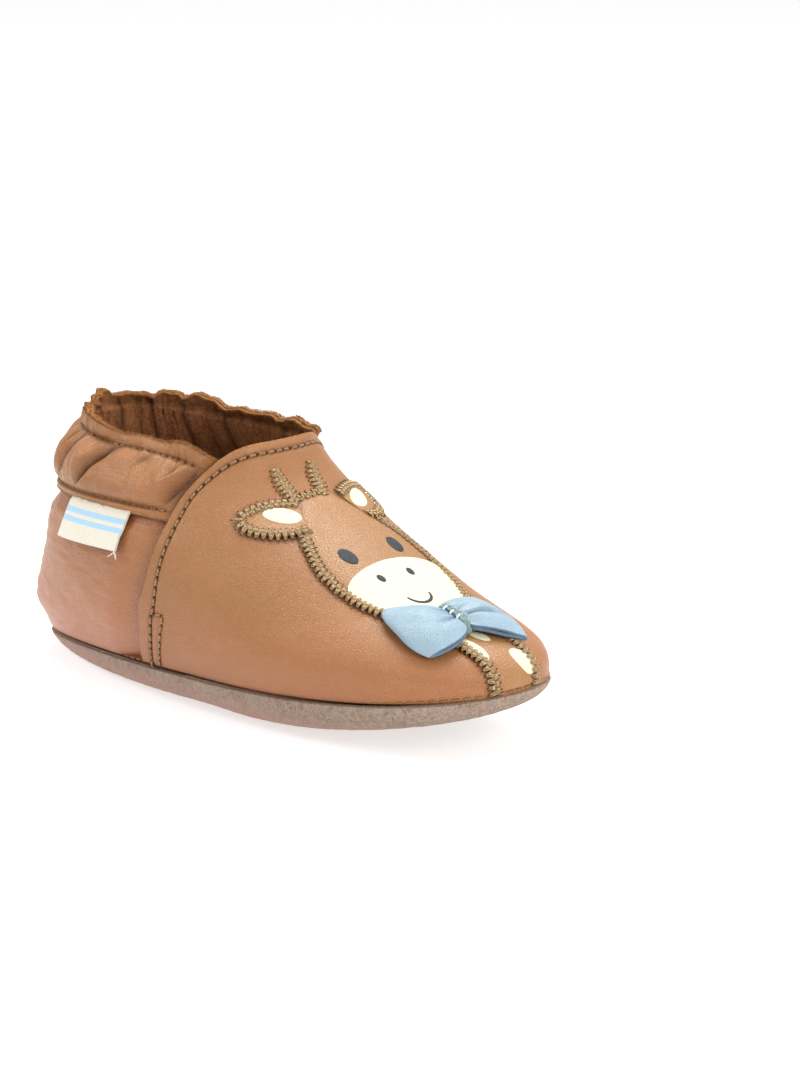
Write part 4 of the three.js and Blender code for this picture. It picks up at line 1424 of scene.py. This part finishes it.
def make_knot():
    """The gathered middle of the bow, under its tack."""
    u = np.linspace(-1, 1, 60)[None, :]
    v = np.linspace(-1, 1, 80)[:, None]
    y = BOW_Y + u * 2.0 + 0 * v
    s = BOW_S + v * KNOT_HALF_S * (0.82 + 0.2 * u * u)
    ridges = np.cos(v * 10 + 1.4 * u)
    top = 3.35 - 1.2 * np.abs(v) ** 3 - 0.3 * (1 - u * u) + 0.22 * ridges * (0.3 + 0.7 * np.abs(u))
    upper = on_vamp(s, y, top)
    lower = on_vamp(s, y, np.broadcast_to(1.0, s.shape))
    # Painted shade between the knot's ridges.
    shade = np.clip(0.22 * (1 - ridges) * np.abs(u) + 0 * s, 0, 1)
    obj = shell("bow_knot_leather", upper, lower, [blue_leather, blue_edge, blue_leather], shade=shade)
    place_piece(obj, "blue_leather", "bow_knot")


def tack_threads(name, lines, radius, material, *nodes):
    """Threads over the bow, from lines of ridge coordinates and heights."""
    paths = [on_vamp(s, y, height) for s, y, height in lines]
    normals = [vamp_normals(s, y) for s, y, _ in lines]
    obj = tubes(name, paths, normals, radius, 10, material)
    place_piece(obj, "grey_thread", *nodes)


def make_tack():
    """Thick bar of thread over the knot, sunk into the vamp at both ends, with three pale stitches across,
    painted near white as glints.
    """
    t = np.linspace(-1, 1, 44)
    bar = []
    for k, (shift, lift) in enumerate(TACK_PLIES):
        s = BOW_S + 0.2 + t * (KNOT_HALF_S + 0.9)
        y = BOW_Y + 0.5 + shift * (1 + 0.2 * np.cos(t * 3 + k)) - 0.5 * t * t + 0.12 * np.sin(t * 5 + k)
        bar.append((s, y, 0.9 + (2.6 + lift) * np.clip(1 - np.abs(t) ** 4, 0, 1)))
    tack_threads("bow_tack_bar", bar, TACK_RADIUS, tack_thread, "bow_tack")
    t = np.linspace(-1, 1, 14)
    y = BOW_Y - 0.45 + 0.75 * t
    cross = [(BOW_S - 1.6 + 1.9 * k + 0.35 * t, y, 3.75 - 0.55 * t ** 4) for k in range(3)]
    tack_threads("bow_tack_cross", cross, 0.25, painted_glint_thread)


# ---- Label ----


def make_label():
    u = np.linspace(0, 1, 90)[None, :]
    v = np.linspace(0, 1, 50)[:, None]
    angle = lerp(LABEL_ANGLES[0], LABEL_ANGLES[1], u) - LABEL_LEAN * (1 - v)
    level = lerp(LABEL_LEVELS[0], LABEL_LEVELS[1], v) + 0 * u
    free = 1 - v
    height = 0.25 + 1.35 * free ** 1.4 + 0.35 * free * np.sin(u * 4.2 + 0.6) + 0.5 * free ** 2 * u ** 3
    height = height - 0.9 * fade(v, 0.72, 0.95)
    outer = on_skin(angle, level, height)
    inner = on_skin(angle, level, height - LABEL_THICKNESS)
    obj = shell("label_tab", outer, inner, [label_cloth] * 3, edge_bulge=0.3)
    across = np.broadcast_to(path_length(outer[25]), level.shape)
    down = (LABEL_LEVELS[1] - level) * LABEL_FALL
    for key, grid in (("across", across), ("down", down)):
        values = np.zeros(len(obj.data.vertices))
        values[:2 * grid.size] = np.tile(grid.ravel(), 2)
        add_attribute(obj.data, key, values)
    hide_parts("label")
    hinge = on_skin(-100.0, HEM_LEVEL, 0.3) * MM
    below = on_skin(-100.0, 30.0, 0.6) * MM
    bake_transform(obj)
    make_label_fray(outer[0, -1])


def make_label_fray(corner):
    """Loose threads at the label's lower corner."""
    t = np.linspace(0, 1, 12)[:, None]
    paths = [corner + unit(np.array(way)) * t * 1.9 + np.array(bend) * t * t * 0.9 for way, bend in FRAYS]
    normals = np.broadcast_to([0.3, -1.0, 0.2], np.shape(paths))
    obj = tubes("label_fray", paths, normals, 0.09, 8, label_fray)
    place_piece(obj, "woven_label", body="label")


# ---- Carried-over CAD nodes ----


def dress_seam_thread():
    """The sole seam's thread keeps its CAD mesh, inside the seam."""
    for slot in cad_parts["sole_seam_thread"].material_slots:
        slot.material = seam_thread


# ---- Camera, light and floor ----


def aim(obj, place, target):
    """Puts a camera or a light at a place, looking at a target."""
    obj.location = place
    obj.rotation_euler = (Vector(target) - Vector(place)).to_track_quat("-Z", "Y").to_euler()


def make_camera():
    azimuth = math.radians(CAMERA_AZIMUTH)
    elevation = math.radians(CAMERA_ELEVATION)
    level = math.cos(elevation)
    back = Vector((math.sin(azimuth) * level, -math.cos(azimuth) * level, math.sin(elevation)))
    right = Vector((math.cos(azimuth), math.sin(azimuth), 0))
    up = back.cross(right)
    data = bpy.data.cameras.new("camera")
    data.sensor_width = 36
    data.lens = CAMERA_LENS
    data.clip_start = 0.05
    data.clip_end = 20
    camera = add_object("camera", data)
    target = right * CAMERA_AIM[0] * MM + up * CAMERA_AIM[1] * MM
    aim(camera, back * (CAMERA_DISTANCE * MM), target)
    bpy.context.scene.camera = camera


def add_light(name, place, size, power):
    data = bpy.data.lights.new(name, "AREA")
    data.shape = "SQUARE"
    data.size = size
    data.energy = power
    aim(add_object(name, data), place, (0, 0, 0.025))


def make_sky():
    """Even white light from all round, a little stronger where the camera sees it."""
    world = bpy.data.worlds.new("studio")
    bpy.context.scene.world = world
    world.use_nodes = True
    nodes = world.node_tree.nodes
    links = world.node_tree.links
    background = nodes["Background"]
    seen = nodes.new("ShaderNodeLightPath")
    strength = nodes.new("ShaderNodeMapRange")
    strength.inputs["To Min"].default_value = SKY_LIGHT
    strength.inputs["To Max"].default_value = SKY_SEEN
    links.new(seen.outputs["Is Camera Ray"], strength.inputs["Value"])
    links.new(strength.outputs[0], background.inputs["Strength"])
    background.inputs["Color"].default_value = (1, 1, 1, 1)


def make_floor():
    shader = Shader("floor")
    shader.finish((0.5, 0.5, 0.5, 1), 0.9, Emission_Color=(1, 1, 1, 1), Emission_Strength=FLOOR_GLOW)
    mesh = bpy.data.meshes.new("floor")
    corners = [(x * FLOOR_REACH, y * FLOOR_REACH, 0) for x, y in ((-1, -1), (1, -1), (1, 1), (-1, 1))]
    mesh.from_pydata(corners, [], [(0, 1, 2, 3)])
    mesh.materials.append(shader.material)
    add_object("floor", mesh)


def make_studio():
    make_sky()
    for light in LIGHTS:
        add_light(*light)
    bpy.context.scene.view_settings.view_transform = "Standard"
    make_floor()


make_camera()
make_studio()
make_vamp()
make_vamp_stitches()
make_quarter()
collar_outside = make_collar()
lining_inside = make_lining()
make_elastic()
make_collar_stitches()
make_rim_fuzz(collar_outside, lining_inside)
make_sole()
make_foam()
make_insole()
make_seam_stitches()
make_face()
make_ears()
make_films()
make_smile()
make_satin()
make_wings()
make_knot()
make_tack()
make_label()
dress_seam_thread()
